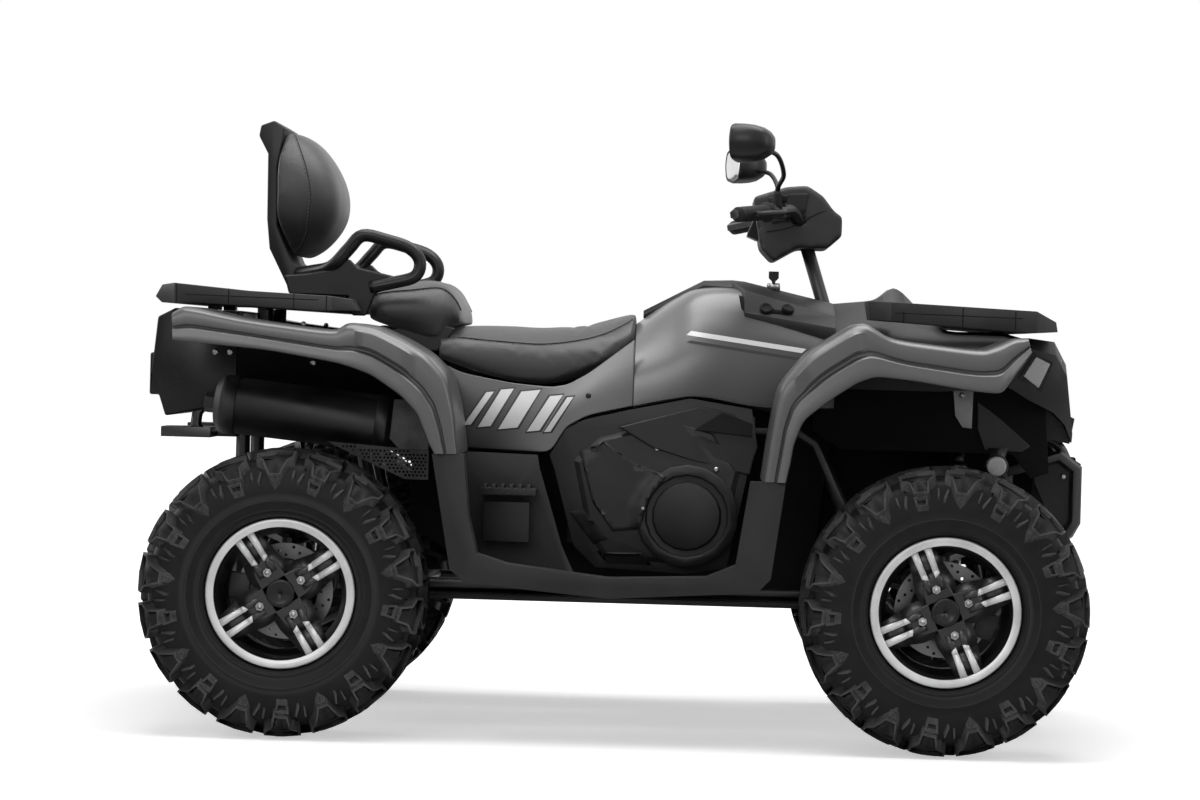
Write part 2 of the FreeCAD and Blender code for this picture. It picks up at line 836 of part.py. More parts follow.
def build_grips():
    grips = []
    radius = size("grip_radius")
    bore = clear_bore(size("bar_tube") / 2)
    for name, sign in SIDES:
        elbow, tip = bar_points(sign)[2:]
        line = (tip - elbow).normalize()
        start = tip - line * side(GRIP_LENGTH_SHARE)
        grip = rod(start, tip + line * wall, radius,
            8).cut(rod(start - line * wall, tip + line * seat_clearance, bore))
        grips.append(grip)
    feature("grips", Part.Compound(grips))


cowl_shares = [
    (-0.088, 1.336), (-0.035, 1.374), (-0.002, 1.38), (0.023, 1.346), (0.041, 1.296), (0.054, 1.277),
    (0.054, 1.211), (0.032, 1.169), (-0.014, 1.17), (-0.054, 1.12), (-0.075, 1.167),
]
COWL_HALF_SHARE = 0.3
# Two cuts across the cover: place, and half the width low down and high up
cowl_taper_shares = [(-0.137, 0.3, 0.21), (0.113, 0.24, 0.15)]
cowl_low_share, cowl_high_share = 1.0, 1.5


def build_bar_cowl():
    """The padded cover over the middle of the handlebar, with the display on its rear face."""
    width = side(COWL_HALF_SHARE)
    outline = [bar_spot(x, -COWL_HALF_SHARE, z) for x, z in cowl_shares]
    cover = face_of(outline).extrude(LEFT * (2 * width))
    taper = []
    for x, low_half, high_half in cowl_taper_shares:
        taper.append([
            bar_spot(x, -low_half, cowl_low_share), bar_spot(x, low_half, cowl_low_share),
            bar_spot(x, high_half, cowl_high_share), bar_spot(x, -high_half, cowl_high_share),
        ])
    cover = cover.common(skin(taper))
    radius = size("bar_tube") / 2
    for name, sign in SIDES:
        cover = cover.cut(tube_run(bar_points(sign), radius + seat_clearance, radius * 3))
    stem_bore = size("stem_radius") + seat_clearance
    cover = cover.cut(Part.makeCylinder(stem_bore, column_reach + seat_clearance, column_foot, column_axis))
    feature("bar_cowl", cover.removeSplitter())


def build_levers():
    levers = []
    radius = size("bar_tube") / 4
    for name, sign in SIDES:
        perch = bar_place(sign, BAR_PERCH_SHARE + PERCH_LENGTH_SHARE / 2)
        ahead = (bar_place(sign, 1) - bar_place(sign, 0)).cross(UP).normalize() * sign
        reach = [
            perch + ahead * (perch_radius + seat_clearance),
            perch + ahead * perch_radius * 2.2,
            bar_place(sign, 0.9) + ahead * perch_radius * 2.4,
        ]
        levers.append(tube_run(reach, radius, radius * 4))
    feature("levers", Part.Compound(levers))


# The mirror's rounded outline seen from the rear, as shares of its width and height
mirror_shares = [
    (-0.08, -0.5), (0.08, -0.5), (0.42, -0.4), (0.5, 0.1), (0.38, 0.5), (-0.2, 0.5), (-0.46, 0.3),
        (-0.44, -0.38),
]
# The domed housing: each cut's place along its depth, and how much of the outline it keeps
mirror_dome_shares = [(-0.26, 0.94), (-0.2, 1.0), (0.3, 0.9), (0.62, 0.68), (0.74, 0.4)]


def build_mirrors():
    shells = []
    glasses = []
    depth = wheelbase * 0.057
    width = side(0.2)
    height = body_rise * 0.125
    for name, sign in SIDES:
        centre = bar_spot(-0.109, sign * 0.82, 1.485)

        def cut(ahead, keeps):
            return [centre + Vector(ahead, sign * y * width * keeps, z * height * keeps) for y,
                z in mirror_shares]

        shell = skin([cut(depth * place, keeps) for place, keeps in mirror_dome_shares])
        glass_back = depth * mirror_dome_shares[0][0]
        glass = skin([cut(glass_back, 0.86), cut(glass_back + wall, 0.86)])
        shell = shell.cut(glass)
        perch = bar_place(sign, BAR_PERCH_SHARE + PERCH_LENGTH_SHARE / 2)
        stalk = tube_run([
            perch + UP * (perch_radius * 1.03 + seat_clearance),
            perch + UP * perch_radius * 3.5,
            bar_spot(-0.052, sign * 0.6, 1.46),
            centre + FORWARD * depth * 0.3,
        ], size("bar_tube") / 4, size("bar_tube"), 6)
        stalk = stalk.cut(glass)
        shells.append(joined([shell, stalk]))
        glasses.append(glass)
    feature("mirrors", Part.Compound(shells))
    feature("mirror_glass", Part.Compound(glasses))


# Bodywork

def fender(stations, y_out, y_in):
    """A moulded fender: each station is a cut across it, from the inner edge to the outer lip."""
    cuts = []
    for (top_x, top_z), (low_x, low_z) in stations:
        top = Vector(fore(top_x), 0, up(top_z))
        low = Vector(fore(low_x), 0, up(low_z))
        down = (low - top).normalize()
        drop = (low - top).Length
        outside = [LEFT * y_in]
        for y_share, drop_share in flare_shares:
            outside.append(LEFT * (y_out * y_share) + down * (drop * drop_share))
        inside = []
        for index, point in enumerate(outside):
            inward = down * wall if index < FLARE_CREASE else LEFT * -wall
            inside.append(point + inward)
        cuts.append([top + point for point in outside + inside[::-1]])
    return skin(cuts)


# The flare's cut: shares of its reach outward, and of its drop from the crown to the lip
flare_shares = [(0.9, 0.0), (0.965, 0.14), (0.985, 0.34), (0.965, 0.66), (1.0, 0.78), (1.0, 1.0)]
FLARE_CREASE = 3

rear_flare_shares = [
    ((-0.675, 0.893), (-0.671, 0.804)), ((-0.657, 0.917), (-0.638, 0.797)), ((-0.572, 0.88), (-0.527, 0.779)),
    ((-0.429, 0.847), (-0.423, 0.744)), ((-0.409, 0.876), (-0.396, 0.727)), ((-0.37, 0.866), (-0.37, 0.707)),
    ((-0.325, 0.824), (-0.325, 0.644)), ((-0.29, 0.781), (-0.3, 0.587)), ((-0.258, 0.713), (-0.29, 0.535)),
    ((-0.244, 0.6), (-0.281, 0.49)), ((-0.236, 0.462), (-0.273, 0.462)),
]
front_flare_shares = [
    ((0.22, 0.4), (0.256, 0.4)), ((0.227, 0.52), (0.262, 0.462)), ((0.235, 0.63), (0.266, 0.521)),
    ((0.243, 0.711), (0.28, 0.601)), ((0.285, 0.821), (0.323, 0.674)), ((0.351, 0.911), (0.36, 0.726)),
    ((0.371, 0.916), (0.386, 0.746)), ((0.409, 0.867), (0.446, 0.734)), ((0.545, 0.837), (0.53, 0.707)),
    ((0.568, 0.856), (0.574, 0.7)), ((0.592, 0.88), (0.595, 0.769)), ((0.612, 0.881), (0.617, 0.833)),
]


def build_fenders():
    reach = side(0.96)
    feature("rear_fenders", pair(fender(rear_flare_shares, reach, side(0.44) + seat_clearance)))
    feature("front_fenders", pair(fender(front_flare_shares, reach, side(0.5) + seat_clearance)))


front_liner_shares = [(0.3, 0.69), (0.3, 0.56), (0.345, 0.5), (0.61, 0.5), (0.64, 0.42), (0.668, 0.44),
    (0.66, 0.66), (0.6, 0.72)]
rear_liner_shares = [(-0.6, 0.6), (-0.6, 0.5), (-0.4, 0.5), (-0.305, 0.4), (-0.27, 0.4), (-0.27, 0.55),
    (-0.32, 0.78), (-0.6, 0.84)]


def build_liners(neighbours):
    """Upright inner panels that close the body above each tyre, cut to the pieces that they meet."""
    front = side_prism(front_liner_shares, side(0.44), side(0.44) + wall)
    rear = side_prism(rear_liner_shares, liner_y - wall, liner_y)
    panels = [front, mirrored(front), rear, mirrored(rear)]
    for neighbour in neighbours:
        panels = [panel.cut(neighbour) for panel in panels]
    feature("arch_liners", Part.Compound(panels))


leg_outer_shares = [
    (-0.277, 0.4615), (-0.246, 0.094), (-0.222, 0.051), (-0.173, 0.041), (-0.006, 0.013), (0.217, 0.044),
    (0.237, 0.089), (0.256, 0.3995),
]
leg_inner_shares = [
    (-0.229, 0.4615), (-0.22, 0.27), (-0.206, 0.145), (-0.16, 0.115), (-0.006, 0.078), (0.14, 0.09),
    (0.184, 0.13), (0.203, 0.3995),
]
pan_inner_shares = [
    (-0.266, 0.4615), (-0.235, 0.1), (-0.216, 0.072), (-0.17, 0.062), (-0.006, 0.034), (0.211, 0.065),
    (0.226, 0.1), (0.245, 0.3995),
]
pan_side_shares = [
    (-0.266, 0.4615), (-0.235, 0.1), (-0.216, 0.072), (-0.06, 0.043), (-0.085, 0.158), (-0.122, 0.41),
        (-0.126, 0.455),
]
RIB_SHARES = (-0.13, -0.07, -0.01, 0.05, 0.11)


def build_footwells():
    """One footwell a side: ribbed pan, rim with its two legs, inner wall, and pocket with its foot peg."""
    inner_y = side(0.48) + seat_clearance
    rim_low, rim_high = side(0.83), side(0.93)
    rim = side_prism(leg_outer_shares + leg_inner_shares[::-1], rim_low, rim_high)
    pan = side_prism(leg_outer_shares + pan_inner_shares[::-1], inner_y, rim_low)
    inner_wall = side_prism(pan_side_shares, inner_y, inner_y + wall)
    pieces = [rim, pan, inner_wall]
    rib_half = wheelbase * 0.008
    for share in RIB_SHARES:
        x = fore(share)
        pieces.append(slab(Vector(x - rib_half, side(0.54), up(0.03)),
            Vector(x + rib_half, side(0.8), up(0.0625))))
    pocket = slab(Vector(fore(-0.205), inner_y, up(0.17)), Vector(fore(-0.135), side(0.58), up(0.3)))
    room = slab(Vector(fore(-0.198), inner_y + wall, up(0.18)),
        Vector(fore(-0.142), side(0.57), up(0.3) + overrun))
    pieces.append(pocket.cut(room))
    peg_high = up(0.345)
    tooth = body_rise * 0.012
    pieces.append(slab(Vector(fore(-0.21), inner_y, up(0.325)), Vector(fore(-0.125), side(0.62), peg_high)))
    for index in range(6):
        x = fore(-0.207 + 0.0135 * index)
        pieces.append(slab(Vector(x, inner_y, peg_high - tooth),
            Vector(x + tooth, side(0.615), peg_high + tooth)))
    feature("footwells", pair(joined(pieces)))


def half_section(x_share, points):
    """A closed outline across the bike, mirrored about its middle plane. Points run from top to bottom."""
    left = [spot(x_share, y, z) for y, z in points]
    right = [spot(x_share, -y, z) for y, z in reversed(points)]
    return left + right


def lofted(cuts):
    return skin([half_section(x, points) for x, points in cuts])


def stem_hole(shape):
    """Leave room for the steering stem to turn."""
    hole = Part.makeCylinder(size("stem_radius") + running_clearance, column_reach * 1.3, column_foot,
        column_axis)
    return shape.cut(hole)


def stem_slot(shape):
    """Leave room for the stem, open to the rear so that the piece slides on round it."""
    half = size("stem_radius") + running_clearance
    back = FORWARD * (wheelbase * 0.1)
    high = column_foot + column_axis * (column_reach * 1.3)
    outline = [column_foot, high, high - back, column_foot - back]
    slot = face_of([point - LEFT * half for point in outline]).extrude(LEFT * (2 * half))
    return stem_hole(shape).cut(slot)


tank_shares = [
    (0.02, [(0.1, 0.9), (0.24, 0.87), (0.34, 0.82), (0.43, 0.74), (0.45, 0.64), (0.43, 0.62), (0.3, 0.6)]),
    (0.075, [(0.11, 0.985), (0.28, 0.955), (0.38, 0.87), (0.45, 0.77), (0.465, 0.665), (0.44, 0.645),
        (0.3, 0.62)]),
    (0.126, [(0.12, 1.03), (0.31, 1.01), (0.4, 0.92), (0.46, 0.8), (0.472, 0.675), (0.45, 0.66),
        (0.3, 0.635)]),
    (0.22, [(0.12, 1.02), (0.32, 1.0), (0.41, 0.9), (0.46, 0.8), (0.472, 0.65), (0.45, 0.63), (0.3, 0.61)]),
    (0.332, [(0.12, 0.95), (0.34, 0.91), (0.43, 0.84), (0.465, 0.77), (0.465, 0.65), (0.44, 0.63),
        (0.3, 0.61)]),
]
trim_shares = [
    (0.03, [(0.09, 0.945), (0.095, 0.935), (0.1, 0.93), (0.1, 0.92)]),
    (0.125, [(0.12, 1.052), (0.16, 1.05), (0.18, 1.035), (0.18, 1.0)]),
    (0.17, [(0.12, 1.056), (0.2, 1.05), (0.23, 1.03), (0.23, 1.0)]),
    (0.19, [(0.12, 1.052), (0.34, 1.02), (0.4, 0.945), (0.38, 0.9)]),
    (0.332, [(0.12, 0.985), (0.35, 0.94), (0.44, 0.9), (0.42, 0.85)]),
]


def build_tank():
    cover = stem_hole(lofted(tank_shares))
    feature("tank_cover", cover)
    feature("tank_trim", stem_hole(lofted(trim_shares)).cut(cover))
    return cover


hood_shares = [
    (0.3322, [(0.12, 0.985), (0.34, 0.935), (0.465, 0.84), (0.465, 0.7)]),
    (0.4, [(0.14, 1.0), (0.34, 0.925), (0.5, 0.87), (0.5, 0.7)]),
    (0.43, [(0.12, 1.06), (0.3, 0.915), (0.5, 0.86), (0.5, 0.7)]),
    (0.5, [(0.12, 0.9), (0.4, 0.88), (0.5, 0.84), (0.5, 0.7)]),
    (0.6, [(0.12, 0.903), (0.45, 0.87), (0.5, 0.84), (0.5, 0.72)]),
]
nose_shares = [
    (0.6002, [(0.12, 0.903), (0.45, 0.87), (0.5, 0.84), (0.5, 0.72)]),
    (0.632, [(0.12, 0.885), (0.45, 0.884), (0.5, 0.85), (0.5, 0.68)]),
    (0.672, [(0.12, 0.872), (0.42, 0.874), (0.49, 0.83), (0.46, 0.64)]),
    (0.6925, [(0.12, 0.79), (0.38, 0.8), (0.44, 0.76), (0.4, 0.6)]),
    (0.7075, [(0.12, 0.6), (0.3, 0.6), (0.34, 0.57), (0.32, 0.54)]),
]
grille_shares = [(0.622, 0.57), (0.705, 0.535), (0.712, 0.62), (0.6, 0.73)]
lamp_cuts_shares = [
    (0.64, [(0.25, 0.8), (0.47, 0.815), (0.49, 0.74), (0.45, 0.69), (0.27, 0.72)]),
    (0.684, [(0.25, 0.8), (0.435, 0.815), (0.455, 0.75), (0.42, 0.7), (0.27, 0.72)]),
]


def build_hood():
    hood = stem_slot(lofted(hood_shares))
    feature("hood", hood)
    return hood


def build_fascia():
    nose = lofted(nose_shares)
    grille = side_prism(grille_shares, -side(0.3), side(0.3))
    bars = []
    for height in (0.56, 0.6, 0.64):
        bars.append(slab(Vector(fore(0.69), -side(0.24), up(height)),
            Vector(fore(0.7), side(0.24), up(height + 0.015))))
    mouth = slab(Vector(fore(0.69), -side(0.24), up(0.54)), Vector(fore(0.75), side(0.24), up(0.68)))
    nose = nose.fuse(grille).removeSplitter().cut(mouth)
    lamps = []
    for name, sign in SIDES:
        cuts = []
        for x, points in lamp_cuts_shares:
            cuts.append([spot(x, sign * y, z) for y, z in points])
        lamps.append(skin(cuts))
    for lamp in lamps:
        nose = nose.cut(lamp)
    fascia = joined([nose] + bars)
    feature("front_fascia", fascia)
    return fascia, lamps


def tail_lamp_box(sign):
    """A tail lamp's block in the tail edge."""
    y_low, y_high = sorted((sign * side(0.2), sign * side(0.4)))
    return slab(Vector(rear_end_x, y_low, up(0.66)), Vector(rear_end_x + wall * 3, y_high, up(0.72)))


def build_lamps(front_lamps):
    tail = [tail_lamp_box(sign) for name, sign in SIDES]
    feature("headlamps", Part.Compound(front_lamps))
    feature("tail_lamps", Part.Compound(tail))
    return tail


tail_shares = [(-0.6, 0.905), (-0.6, 0.6), (-0.712, 0.55), (-0.735, 0.7), (-0.727, 0.88), (-0.7, 0.91)]


def build_tail(tail_lamps):
    panel = side_prism(tail_shares, -side(0.44), side(0.44))
    edge = slab(Vector(rear_end_x, -side(0.42), up(0.62)),
        Vector(rear_end_x + wall * 5, side(0.42), up(0.76)))
    panel = panel.fuse(edge)
    for lamp in tail_lamps:
        panel = panel.cut(lamp)
    panel = panel.removeSplitter()
    feature("tail_panel", panel)
    return panel


def build_bumper():
    radius = size("rack_tube") / 2
    x_front = front_end_x - radius
    y = rail_y + rail_radius + radius + seat_clearance
    points = [
        Vector(fore(0.61), y, up(0.44)),
        Vector(x_front, y, up(0.51)),
        Vector(x_front, y, up(0.25)),
        Vector(fore(0.61), y, up(0.1)),
    ]
    hoop = tube_run(points, radius, radius * 2.5)
    bars = [rod(Vector(x_front, -y, up(z)), Vector(x_front, y, up(z)), radius * 0.9) for z in (0.46, 0.3)]
    plate = slab(Vector(x_front - wall, -side(0.2), up(0.3)), Vector(x_front + wall, side(0.2), up(0.46)))
    feature("front_bumper", joined([hoop, mirrored(hoop), plate] + bars))


RACK_SLOT_SHARES = (-0.56, -0.34, 0, 0.34, 0.56)
front_rack_shares = [
    (0.376, 0.991), (0.632, 0.97), (0.665, 0.937), (0.668, 0.905), (0.63, 0.9), (0.545, 0.91), (0.381, 0.93),
]
rear_rack_shares = [
    (-0.718, 0.945), (-0.706, 0.984), (-0.684, 0.99), (-0.569, 0.97), (-0.446, 0.96), (-0.416, 0.953),
    (-0.407, 0.914), (-0.464, 0.91), (-0.645, 0.926), (-0.706, 0.925),
]


def rack_slots(deck, x_low, x_high):
    """Cut the strap slots through a rack's deck."""
    half = side(0.07)
    for share in RACK_SLOT_SHARES:
        deck = deck.cut(slab(Vector(x_low, side(share) - half, up(0.8)),
            Vector(x_high, side(share) + half, up(1.1))))
    return deck


def corners_off(deck, x_low, x_high, half):
    """Take the four corners off a deck as seen from above."""
    bevel = wheelbase * 0.035
    outline = [
        (x_low, half - bevel), (x_low + bevel, half), (x_high - bevel, half), (x_high, half - bevel),
        (x_high, bevel - half), (x_high - bevel, -half), (x_low + bevel, -half), (x_low, bevel - half),
    ]
    low = up(0.8)
    block = face_of([Vector(x, y, low) for x, y in outline]).extrude(UP * (up(1.1) - low))
    return deck.common(block)


def build_racks():
    front_half = side(0.72)
    front = corners_off(side_prism(front_rack_shares, -front_half, front_half), fore(0.376), fore(0.668),
        front_half)
    front = rack_slots(front, fore(0.42), fore(0.61))
    notch = slab(Vector(fore(0.37), -side(0.38), up(0.8)), Vector(fore(0.5), side(0.38), up(1.1)))
    feature("front_rack", front.cut(notch))
    rear_half = side(0.74)
    rear = corners_off(side_prism(rear_rack_shares, -rear_half, rear_half), fore(-0.718), fore(-0.407),
        rear_half)
    rear = rack_slots(rear, fore(-0.67), fore(-0.52))
    posts = []
    for name, sign in SIDES:
        y_low, y_high = sorted((sign * side(0.19), sign * side(0.25)))
        posts.append(slab(Vector(fore(-0.66), y_low, up(0.9085)), Vector(fore(-0.64), y_high, up(0.935))))
    feature("rear_rack", joined([rear] + posts))


panel_cuts_shares = [
    (-0.29, 0.57, 0.76, 0.4), (-0.25, 0.47, 0.72, 0.41), (-0.17, 0.465, 0.69, 0.425),
        (-0.108, 0.462, 0.68, 0.435),
    (-0.083, 0.55, 0.69, 0.44), (-0.05, 0.59, 0.73, 0.445), (0.0198, 0.625, 0.845, 0.445),
]


def build_side_panels():
    """The painted panel under the seat on each side, widest near the tank."""
    cuts = []
    for x, low, high, y in panel_cuts_shares:
        inner = y - 0.03
        middle = (low + high) / 2
        cuts.append([
            spot(x, inner, low), spot(x, y, low), spot(x, y + 0.008, middle), spot(x, y - 0.01, high),
                spot(x, inner, high),
        ])
    panels = pair(skin(cuts))
    feature("side_panels", panels)
    return panels


cover_shares = [
    (-0.108, 0.455), (-0.083, 0.543), (-0.055, 0.575), (0.02, 0.614), (0.109, 0.655), (0.205, 0.625),
        (0.215, 0.5),
    (0.2, 0.4), (0.172, 0.096), (0.108, 0.073), (-0.032, 0.087), (-0.067, 0.157), (-0.1, 0.41),
]
cover_core_shares = [(-0.08, 0.16), (0.14, 0.16), (0.14, 0.38), (0.09, 0.45), (-0.08, 0.38)]
cover_relief_shares = [
    (-0.07, 0.44), (-0.03, 0.52), (0.1, 0.585), (0.15, 0.55), (0.19, 0.42), (0.16, 0.13), (0.1, 0.105),
        (-0.02, 0.12),
    (-0.045, 0.2),
]
vent_shares = [(0.125, 0.53), (0.165, 0.5), (0.178, 0.44), (0.15, 0.46)]
RELIEF_SHARE = 0.93


def build_engine_covers(neighbours):
    """The faceted cover over each side of the engine: raised field, vent and round clutch cover."""
    base = side(0.455)
    crown = side(0.478)
    shell = side_prism(cover_shares, side(0.3), base)
    core = side_prism(cover_core_shares, size("engine_width") / 2 + seat_clearance, side(0.3))
    middle_x = sum(x for x, z in cover_relief_shares) / len(cover_relief_shares)
    middle_z = sum(z for x, z in cover_relief_shares) / len(cover_relief_shares)
    foot = [Vector(fore(x), base, up(z)) for x, z in cover_relief_shares]
    top = []
    for x, z in cover_relief_shares:
        top_x = middle_x + (x - middle_x) * RELIEF_SHARE
        top_z = middle_z + (z - middle_z) * RELIEF_SHARE
        top.append(Vector(fore(top_x), crown, up(top_z)))
    field = skin([foot, top])
    radius = body_rise * 0.17
    step = crown - base
    disc = lathe(Vector(fore(0.108), crown - step, up(0.266)), LEFT, [
        (0, radius), (step * 1.7, radius), (step * 2, radius * 0.93), (step * 2, radius * 0.82),
        (step * 1.4, radius * 0.78), (step * 1.4, radius * 0.68), (step * 2, radius * 0.64),
            (step * 2, radius * 0.1),
    ], FACETS // 2)
    vent = side_prism(vent_shares, crown - step / 2, crown + overrun)
    cover = joined([shell, core, field, disc]).cut(vent)
    covers = [cover, mirrored(cover)]
    for neighbour in neighbours:
        covers = [cover.cut(neighbour) for cover in covers]
    feature("engine_covers", Part.Compound(covers))


driver_seat_shares = [
    (-0.29, [(0.2, 0.87), (0.34, 0.855), (0.4, 0.82), (0.4, 0.77), (0.36, 0.76)]),
    (-0.2, [(0.2, 0.86), (0.35, 0.84), (0.4, 0.8), (0.4, 0.72), (0.36, 0.7)]),
    (-0.12, [(0.18, 0.855), (0.33, 0.835), (0.39, 0.78), (0.385, 0.7), (0.35, 0.68)]),
    (-0.046, [(0.15, 0.88), (0.28, 0.86), (0.36, 0.8), (0.36, 0.75), (0.33, 0.72)]),
    (0.0, [(0.12, 0.925), (0.22, 0.905), (0.31, 0.855), (0.32, 0.8), (0.3, 0.76)]),
    (0.0198, [(0.1, 0.945), (0.19, 0.93), (0.26, 0.88), (0.28, 0.84), (0.26, 0.79)]),
]
passenger_seat_shares = [
    (-0.402, [(0.2, 0.965), (0.32, 0.955), (0.36, 0.93), (0.36, 0.9), (0.34, 0.89)]),
    (-0.385, [(0.2, 1.0), (0.34, 0.985), (0.39, 0.94), (0.39, 0.9), (0.37, 0.875)]),
    (-0.33, [(0.2, 1.02), (0.34, 1.0), (0.4, 0.95), (0.4, 0.89), (0.37, 0.84)]),
    (-0.2905, [(0.2, 1.03), (0.33, 1.01), (0.39, 0.95), (0.4, 0.88), (0.38, 0.8)]),
    (-0.29, [(0.2, 1.03), (0.33, 1.01), (0.39, 0.95), (0.39, 0.91), (0.35, 0.8705)]),
    (-0.268, [(0.2, 1.01), (0.32, 0.99), (0.37, 0.94), (0.37, 0.905), (0.34, 0.8705)]),
    (-0.25, [(0.2, 0.93), (0.31, 0.92), (0.34, 0.9), (0.34, 0.88), (0.32, 0.8705)]),
]


def build_seats():
    driver = lofted(driver_seat_shares)
    feature("driver_seat", driver)
    feature("passenger_seat", lofted(passenger_seat_shares).cut(driver))


backrest_shell_shares = [
    (-0.53, 0.973), (-0.565, 1.12), (-0.57, 1.22), (-0.571, 1.44), (-0.586, 1.5), (-0.583, 1.535),
        (-0.562, 1.552),
    (-0.545, 1.53), (-0.555, 1.4), (-0.553, 1.2), (-0.53, 1.08), (-0.5, 1.03), (-0.5, 0.973),
]
# Each level of the pad: height, back, front, and half width, all as shares
backrest_pad_shares = [
    (1.09, -0.5285, -0.51, 0.16), (1.14, -0.5385, -0.48, 0.25), (1.22, -0.5525, -0.455, 0.31),
    (1.31, -0.5535, -0.452, 0.33), (1.4, -0.5545, -0.468, 0.31), (1.48, -0.549, -0.496, 0.25),
        (1.52, -0.545, -0.522, 0.17),
]


def build_backrest():
    shell = side_prism(backrest_shell_shares, -side(0.24), side(0.24))
    feature("backrest_shell", shell)
    levels = []
    for z, back, front, half in backrest_pad_shares:
        ahead = front - back
        levels.append([
            spot(back, -half, z), spot(back + ahead * 0.45, -half, z),
                spot(back + ahead * 0.88, -half * 0.8, z),
            spot(front, -half * 0.4, z), spot(front, half * 0.4, z), spot(back + ahead * 0.88, half * 0.8, z),
            spot(back + ahead * 0.45, half, z), spot(back, half, z),
        ])
    feature("backrest_pad", skin(levels).cut(shell))
    return shell


def build_grab_handles(backrest):
    radius = size("rack_tube") / 2
    loop = tube_run([
        spot(-0.525, 0.21, 1.04), spot(-0.456, 0.44, 1.054), spot(-0.41, 0.46, 1.178),
        spot(-0.331, 0.46, 1.133), spot(-0.315, 0.46, 1.04), spot(-0.411, 0.45, 0.995),
        Vector(fore(-0.43), side(0.45), up(0.9575) + radius * 0.8),
    ], radius, radius * 2)
    feature("grab_handles", pair(loop.cut(backrest)))


liner_y = side(0.43) + wall
silencer_radius = side(0.1186)
silencer_y = liner_y + silencer_radius + 6 * seat_clearance
shield_y = silencer_y + silencer_radius + running_clearance


def build_silencer():
    """The silencer above the right tyre, with its end caps, outlet and hanger."""
    radius = silencer_radius
    start = Vector(fore(-0.625), -silencer_y, over(1) + radius + 4 * running_clearance)
    end = Vector(fore(-0.34), -silencer_y, start.z - wheelbase * 0.028)
    line = (end - start).normalize()
    length = (end - start).Length
    cap = length * 0.06
    body = lathe(start, line, [
        (0, radius * 0.7), (cap * 0.6, radius * 0.96), (cap, radius), (cap * 2, radius),
            (cap * 2, radius * 0.96),
        (length - cap * 2, radius * 0.96), (length - cap * 2, radius), (length - cap, radius),
            (length, radius * 0.6),
    ], 12)
    outlet = rod(start - line * cap, start + line * cap, radius * 0.3)
    outlet = outlet.cut(rod(start - line * cap * 2, start + line * cap * 0.5, radius * 0.24))
    hanger = slab(Vector(fore(-0.59), -silencer_y, start.z - wall * 3),
                  Vector(fore(-0.58), -liner_y - seat_clearance, start.z + wall))
    feature("silencer", joined([body, outlet, hanger]))


# The heat shields stand close above the tyre, so their heights are shares of its radius.
heat_plate_shares = [(-0.344, 1.353), (-0.35, 1.074), (-0.335, 1.0), (-0.289, 1.0), (-0.289, 1.288),
    (-0.3, 1.353)]
mesh_shares = [(-0.445, 1.044), (-0.289, 0.998), (-0.289, 0.794), (-0.325, 0.794), (-0.4, 0.945)]


def shield_plate(shares):
    points = [Vector(fore(x), -shield_y - wall, over(z)) for x, z in shares]
    return face_of(points).extrude(LEFT * wall)


def build_heat_shields():
    """The plate ahead of the silencer and the sheet below it, and the same sheet on the left."""
    plate = shield_plate(heat_plate_shares)
    sheet = shield_plate(mesh_shares)
    stay = slab(Vector(fore(-0.31), -shield_y, over(0.945)),
        Vector(fore(-0.3), -liner_y - seat_clearance, over(0.988)))
    right = joined([plate, sheet, stay])
    left = mirrored(joined([sheet, stay]))
    feature("heat_shields", Part.Compound([right, left]))


def build_tow_bar():
    """A flat bar behind the frame, bored for a tow ball's shank, with a step on each side."""
    thick = size("tow_bar_thickness")
    start = fore(-0.6) - rail_radius - seat_clearance
    end = fore(-0.718)
    half = rail_y + rail_radius
    low = tow_place().z
    bar = slab(Vector(end, -half, low), Vector(start, half, low + thick))
    step = slab(Vector(end, half, low), Vector(fore(-0.64), side(0.44), low + thick * 2))
    hole = Part.makeCylinder(size("tow_bore") / 2, thick + overrun, tow_place() - UP * overrun / 2, UP)
    hitch = joined([bar, step, mirrored(step)]).cut(hole)
    feature("tow_bar", hitch)
    return hitch


def build_rear_tubes(neighbours):
    """A bent tube on each side behind the tyre, from the tail's underside to the step."""
    radius = size("rack_tube") * 0.45
    foot_z = tow_place().z + size("tow_bar_thickness")
    tube = tube_run([
        Vector(fore(-0.655), side(0.4), up(0.572) + radius),
            Vector(fore(-0.67), side(0.4), foot_z + radius * 3),
        Vector(fore(-0.66), side(0.4), foot_z),
    ], radius, radius * 3)
    for neighbour in neighbours:
        tube = tube.cut(neighbour)
    feature("rear_tubes", pair(tube))


def tow_place():
    """The middle of the tow bore's lower rim."""
    return Vector(fore(-0.69), 0, up(0.49) - size("tow_bar_thickness") / 2)


def build_skid():
    """A flat plate under the rails, bent from one sheet."""
    low = floor_z - size("skid_thickness")
    half = side(0.35)
    feature("skid_plate", slab(Vector(fore(-0.33), -half, low), Vector(fore(0.37), half, floor_z)))


build_wheels()
build_frame()
build_engine()
build_final_drives()
build_half_shafts()
build_arms()
build_shocks()
build_uprights()
build_steering()
build_tie_rods()
build_handlebar()
build_grips()
build_bar_cowl()
build_levers()
build_mirrors()
build_fenders()
build_footwells()
tank_shape = build_tank()
hood_shape = build_hood()
fascia_shape, front_lamps = build_fascia()
build_liners([tank_shape, hood_shape, fascia_shape])
rear_lamps = build_lamps(front_lamps)
tail_shape = build_tail(rear_lamps)
build_bumper()
build_racks()
panel_shape = build_side_panels()
build_engine_covers([tank_shape, panel_shape])
build_seats()
backrest_shape = build_backrest()
build_grab_handles(backrest_shape)
build_silencer()
build_heat_shields()
hitch_shape = build_tow_bar()
build_rear_tubes([tail_shape, hitch_shape])
build_skid()

